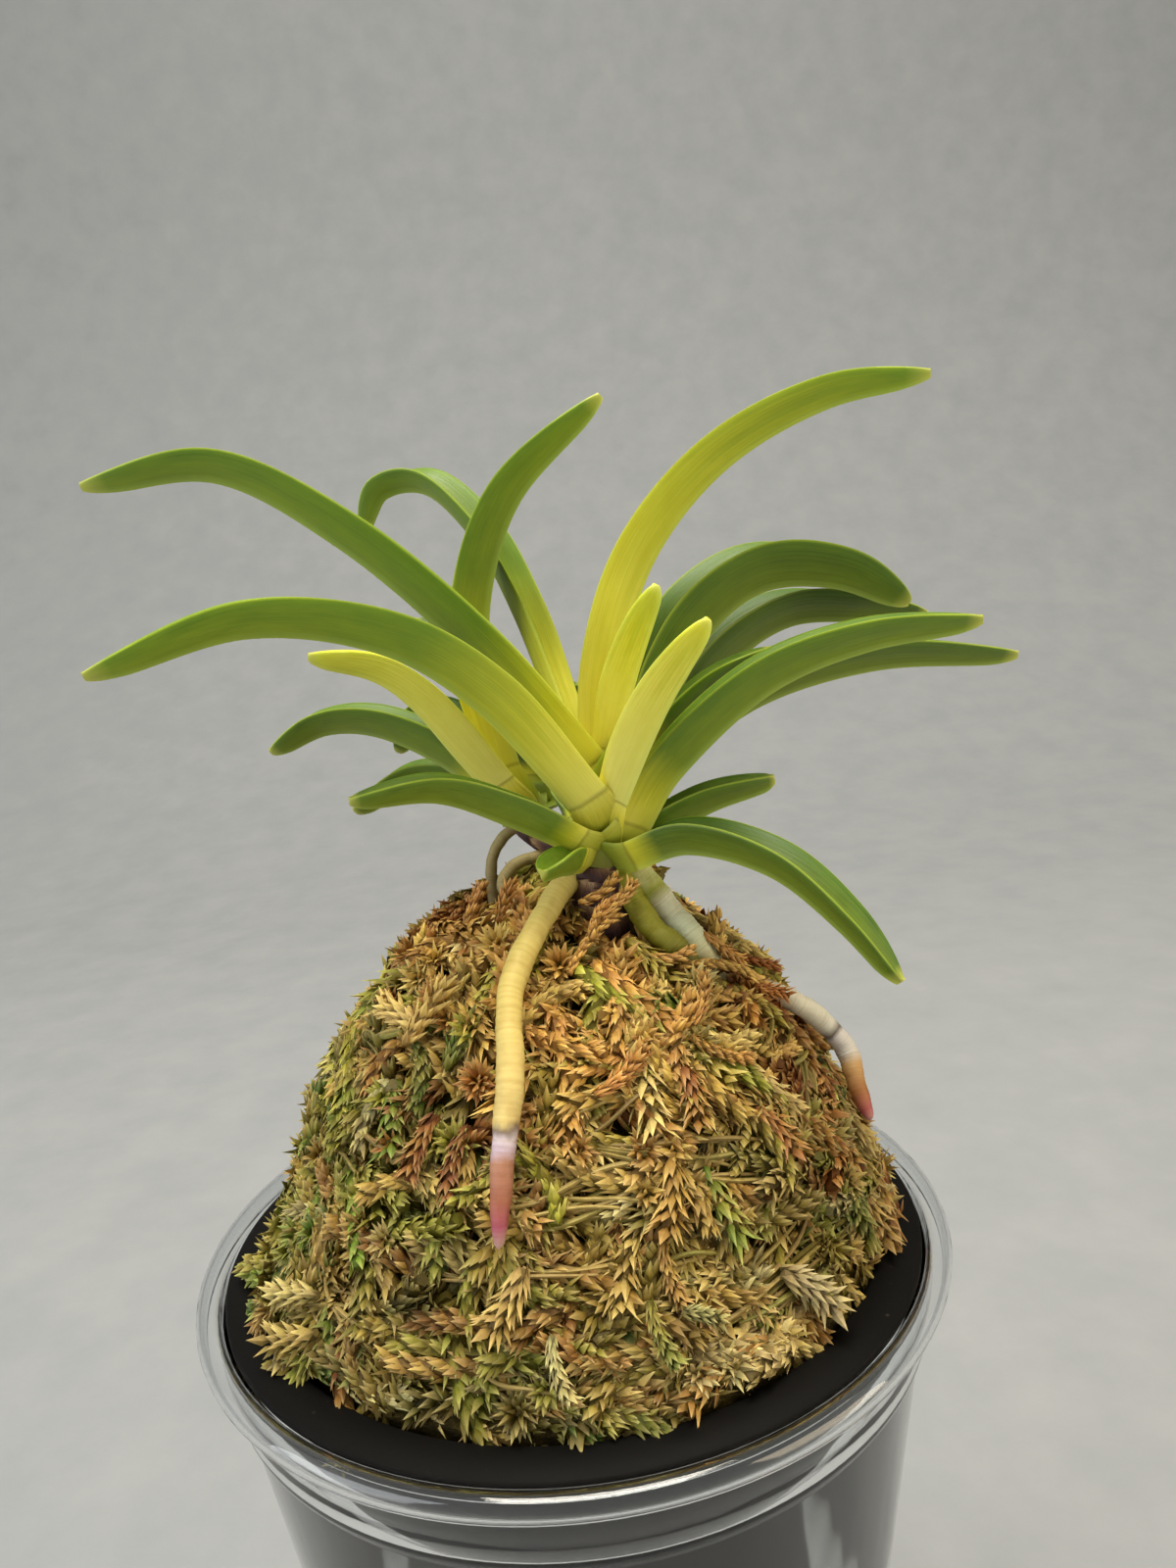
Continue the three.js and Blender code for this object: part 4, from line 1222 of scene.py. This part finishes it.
# How far each layer lies above the mound, in millimetres, and how many strands are in it. Strays
# cross the others, and the shares of ropes and wisps leave the rest to feathers.
LAYERS = [(-1.8, 420), (-0.8, 470), (0.2, 470)]
STRAY_SHARE = 0.25
ROPE_SHARE = 0.58
WISP_SHARE = 0.14
SKIRT_STRANDS = 170
TUFT_COUNT = 130

for lift, count in LAYERS:
    for i in range(count):
        turn = dice.uniform(0, math.tau)
        climb = math.asin(dice.random() ** 1.05) * 0.97 + 0.03
        point, round_it, uphill, out = moss_frame(turn, climb)
        slant = dice.gauss(0, 0.6 + 0.8 * climb / 1.5)
        if dice.random() < STRAY_SHARE:
            slant = dice.uniform(0.8, 2.3)
        along = round_it * dice.choice((-1, 1)) * math.cos(slant) - uphill * math.sin(slant)
        kind = dice.random()
        templates = FEATHERS
        if kind < ROPE_SHARE:
            templates = ROPES
        elif kind < ROPE_SHARE + WISP_SHARE:
            templates = WISPS
        strew(dice, point + out * lift, along.normalized(), out, templates)

# The lowest strands hang over the pot's edge and lie round it on the flange.
for i in range(SKIRT_STRANDS):
    turn, low_down = dice.uniform(0, math.tau), dice.random() < 0.5
    climb = dice.uniform(0.03, 0.09) if low_down else dice.uniform(0.12, 0.22)
    point, round_it, uphill, out = moss_frame(turn, climb)
    slant = dice.gauss(0, 0.15) if low_down else dice.gauss(math.pi / 2, 0.4)
    along = (round_it * math.cos(slant) - uphill * math.sin(slant)).normalized()
    strew(dice, point - out * dice.uniform(0.2, 1.4), along, out, ROPES + FEATHERS, 3.0)

# More are tucked in round the stems' feet.
for stem, count in zip(STEMS.values(), (34, 22)):
    for i in range(count):
        turn = math.tau * (i + dice.random()) / count
        away = Vector((math.cos(turn), math.sin(turn), 0))
        place = Vector(stem["rooted"][0]) + away * (stem["radius"] + dice.uniform(1.6, 4.6))
        place.z = dice.uniform(153.8, 157)
        along = away.cross(Vector((0, 0, 1))) + away * dice.uniform(-0.5, 0.5)
        out = (away * 0.5 + Vector((0, 0, 1))).normalized()
        strew(dice, place, along.normalized(), out, ROPES[2:3] + FEATHERS, 4.5)

for i in range(TUFT_COUNT):
    turn, climb = dice.uniform(0, math.tau), dice.uniform(0.06, 1.2)
    point, round_it, uphill, out = moss_frame(turn, climb)
    if covers_plant(point, round_it, out, 1.5):
        continue
    name = family_at(dice, point)
    tint = tinted_with_painted_light(dice.choice(FAMILIES[name]["colours"]), 1.0, point)
    lay(heaps[name], dice.choice(TUFTS), point + out * 0.2, round_it, out, 1.0, tint)

fans = leafy_bmesh()
for templates, colour, start, end in SHOWY:
    start, end = Vector(start), Vector(end)
    middle = (start + end) / 2
    out = Vector((middle.x - MOSS_CENTRE, middle.y, 0.9 * (middle.z - 116))).normalized()
    along = (end - start).normalized()
    out = (out - along * out.dot(along)).normalized()
    template = dice.choice(templates)
    size = (end - start).length / max(2 * abs(vert.co.x) for vert in template.vertices)
    size = min(1.2, max(0.55, size))
    lay(fans, template, middle + out * 1.0, along, out, size, tinted_with_painted_light(colour, 1.1, middle))


def strand_skin():
    """Dry leaves of moss: paler at their points, with painted shade at their feet, each a little
    different.
    """
    material, tree, skin = material_with("moss_strand", Roughness=0.62, Specular_IOR_Level=0.22)
    tint = add(tree, "ShaderNodeAttribute", attribute_name="tint").outputs["Color"]
    reach, fleck = value_of(tree, "reach"), value_of(tree, "fleck")
    drift, grain = (noise(tree, place_on(tree), scale, 3.0) for scale in (170.0, 1500.0))
    colour = blend(tree, ranged(tree, drift, 0.42, 0.62, 0.0, 0.45), tint, linear("a98a3c"))
    colour = blend(tree, 1.0, colour, (1.0, 0.96, 0.74, 1), "MULTIPLY")
    # The paler points are partly the leaves' own colour and partly painted light shining through them.
    colour = blend(tree, ranged(tree, reach, 0.45, 1.0, 0.0, 0.3), colour, linear("e6d69c"))
    # Painted shade: each leaf darkens towards its foot, where it laps under the next, and brightens
    # past its own colour at its point.
    value = ranged(tree, reach, 0.0, 1.0, 0.3, 1.12)
    for part in (ranged(tree, fleck, 0.0, 1.0, 0.75, 1.2), ranged(tree, grain, 0.3, 0.7, 0.82, 1.14)):
        value = sums(tree, "MULTIPLY", value, part)
    hue = add(
        tree, "ShaderNodeHueSaturation",
        {"Hue": ranged(tree, fleck, 0.0, 1.0, 0.492, 0.508), "Value": value, "Color": colour},
    )
    tree.links.new(hue.outputs[0], skin.inputs["Base Color"])
    bumped(tree, skin, grain, 0.4, 0.0002)
    return material


STRAND_SKIN = strand_skin()
heaps["fans"] = fans
for name, whole in heaps.items():
    bmesh.ops.recalc_face_normals(whole, faces=whole.faces)
    piece("moss_" + name, whole, STRAND_SKIN, "sphagnum")

# Bare stems: the long bald stalks of the moss, ridged and dry, which lost their leaves. They lie in
# loose level bundles round the mound, half sunk among the strands.

STALK_SIDES = 5
STALK_STEPS = 14
STALK_POINTS = 8
MORE_BUNDLES = 30
STALK_COLOURS = ["8f7c46", "9c8854", "7c7036", "a8925c", "857242", "757430"]

# The bundles that show in front, by where they start and end in millimetres.
BUNDLES = [
    ((2, -27, 136), (16, -21, 140)),
    ((-15, -31, 123), (12, -33, 120)),
    ((-2, -29, 133), (21, -26, 127)),
    ((-4, -33, 128), (12, -31, 127)),
    ((14, -34, 117), (28, -26, 117)),
    ((-24, -24, 130), (-12, -27, 131)),
]


def on_mound(place):
    """The turn and climb of a place on the mound."""
    x, y, z = place
    up = min(1, max(0, (z - MOSS_FOOT) / MOSS_HEIGHT)) ** (1 / MOSS_SQUARENESS)
    return math.atan2(y, x - MOSS_CENTRE), math.asin(up)


def stalk(start, end, radius, lift, dice):
    """A ridged stalk that follows the mound between two turns and climbs."""
    line = []
    wander = dice.uniform(0, 6)
    for i in range(STALK_POINTS + 1):
        share = i / STALK_POINTS
        turn, climb = (mixed(a, b, share) for a, b in zip(start, end))
        sway = 0.012 * math.sin(6 * share + wander)
        point, _, _, out = moss_frame(turn, max(0.03, climb + sway))
        line.append(point + out * (lift - 10 * abs(share - 0.5) ** 3))
    spine = upright_spine(line, (0.3, 0.2, 0.9))

    def section(k, share):
        out = radius * (1 - 0.4 * abs(2 * share - 1) ** 4) * (1 + 0.12 * math.sin(17 * share + k))
        return ring_point(out, math.tau * k / STALK_SIDES)

    fleck = dice.random()
    return sweep(
        rod(STALK_SIDES, STALK_STEPS), STALK_SIDES, spine, section,
        # Painted light and shade: alternate faces of the stalk get a lower and a higher reach, so its
        # ridges show as dark and light stripes.
        lambda k, share: {"reach": 0.45 + 0.3 * (k % 2), "fleck": fleck},
    )


for i in range(MORE_BUNDLES):
    turn, climb = dice.uniform(0, math.tau), dice.uniform(0.15, 0.9)
    ahead = turn + dice.uniform(0.25, 0.5)
    BUNDLES.append((moss_point(turn, climb), moss_point(ahead, climb + dice.uniform(-0.1, 0.15))))
stalks = leafy_bmesh()
tints = stalks.verts.layers.float_color["tint"]
for start, end in BUNDLES:
    start, end = on_mound(start), on_mound(end)
    for i in range(dice.choice((4, 5, 6, 7))):
        nudged = [
            (turn + dice.uniform(-0.12, 0.12), climb + dice.uniform(-0.065, 0.065))
            for turn, climb in (start, end)
        ]
        made = stalk(*nudged, dice.uniform(0.18, 0.38), dice.uniform(0.1, 1.2), dice)
        blocked = any(
            (vert.co / MM - point).length < radius + 0.7
            for vert in made.verts for point, radius in BARE + FEET
        )
        if blocked:
            made.free()
            continue
        before = len(stalks.verts)
        join_into(stalks, made)
        stalks.verts.ensure_lookup_table()
        tint = linear(dice.choice(STALK_COLOURS))
        for vert in stalks.verts[before:]:
            vert[tints] = tint
piece("moss_stalks", stalks, STRAND_SKIN, "sphagnum")

# Studio: a pale floor that sweeps up into a plain grey wall, soft light from above and from the
# window side, and a camera held a little above the pot and tipped down, as for a snapshot.

WALL_AT = 1.1
SWEEP_RADIUS = 0.6
SWEEP_STEPS = 12
MIDDLE = Vector((0, 0, 0.15))
EYE = (0.0076, -0.1441, 0.196)
LENS = 27
PITCH = math.radians(11.44)
ROLL = math.radians(5.42)

sweep_line = [(-2.5, 0), (0.2, 0)]
for step in range(SWEEP_STEPS + 1):
    turn = math.radians(90 * step / SWEEP_STEPS)
    sweep_line.append((
        WALL_AT - SWEEP_RADIUS + SWEEP_RADIUS * math.sin(turn),
        SWEEP_RADIUS - SWEEP_RADIUS * math.cos(turn),
    ))
sweep_line.append((WALL_AT, 3))
backdrop = bmesh.new()
edge_line = [backdrop.verts.new((-3, y, z)) for y, z in sweep_line]
edges = [backdrop.edges.new(pair) for pair in zip(edge_line, edge_line[1:])]
across = bmesh.ops.extrude_edge_only(backdrop, edges=edges)["geom"]
moved = [item for item in across if isinstance(item, bmesh.types.BMVert)]
bmesh.ops.translate(backdrop, vec=(6, 0, 0), verts=moved)
bmesh.ops.recalc_face_normals(backdrop, faces=backdrop.faces)
wall_paint, tree, skin = material_with("wall_paint", Roughness=0.85, Specular_IOR_Level=0.2)
plaster = noise(tree, place_on(tree), 38.0, 6.0, 0.6)
tree.links.new(ramp(tree, plaster, (0.3, "909394"), (0.7, "989a9a")), skin.inputs["Base Color"])
bumped(tree, skin, plaster, 0.2, 0.002)
mesh = mesh_of("studio_sweep", backdrop)
mesh.materials.append(wall_paint)
mesh.shade_smooth()
in_scene("studio_sweep", mesh)


def soft_light(name, place, size, watts, colour):
    light = bpy.data.lights.new(name, "AREA")
    light.size = size
    light.energy = watts
    light.color = colour
    lamp = in_scene(name, light)
    lamp.location = place
    lamp.rotation_euler = (MIDDLE - Vector(place)).to_track_quat("-Z", "Y").to_euler()


soft_light("ceiling", (0.0, -0.04, 1.3), 0.6, 22, (1.0, 0.94, 0.84))
soft_light("window", (1.0, -0.5, 0.5), 0.8, 7.5, (1.0, 0.84, 0.6))
soft_light("fill", (-1.0, -0.5, 0.5), 0.9, 7.5, (0.94, 0.97, 1.0))

world = bpy.data.worlds.new("studio")
world.use_nodes = True
sky = world.node_tree.nodes["Background"]
sky.inputs["Color"].default_value = (0.77, 0.79, 0.82, 1)
sky.inputs["Strength"].default_value = 0.42
bpy.context.scene.world = world
bpy.context.scene.view_settings.view_transform = "Standard"

forward = Vector((0, math.cos(PITCH), -math.sin(PITCH)))
right = Vector((1, 0, 0))
above = right.cross(forward)
level_right = right * math.cos(ROLL) - above * math.sin(ROLL)
level_up = above * math.cos(ROLL) + right * math.sin(ROLL)
eye = bpy.data.cameras.new("snapshot")
eye.lens = LENS
eye.clip_start = 0.01
camera = in_scene("snapshot", eye)
camera.matrix_world = (
    Matrix.Translation(EYE)
    @ Matrix((level_right, level_up, -forward)).transposed().to_4x4()
)
bpy.context.scene.camera = camera
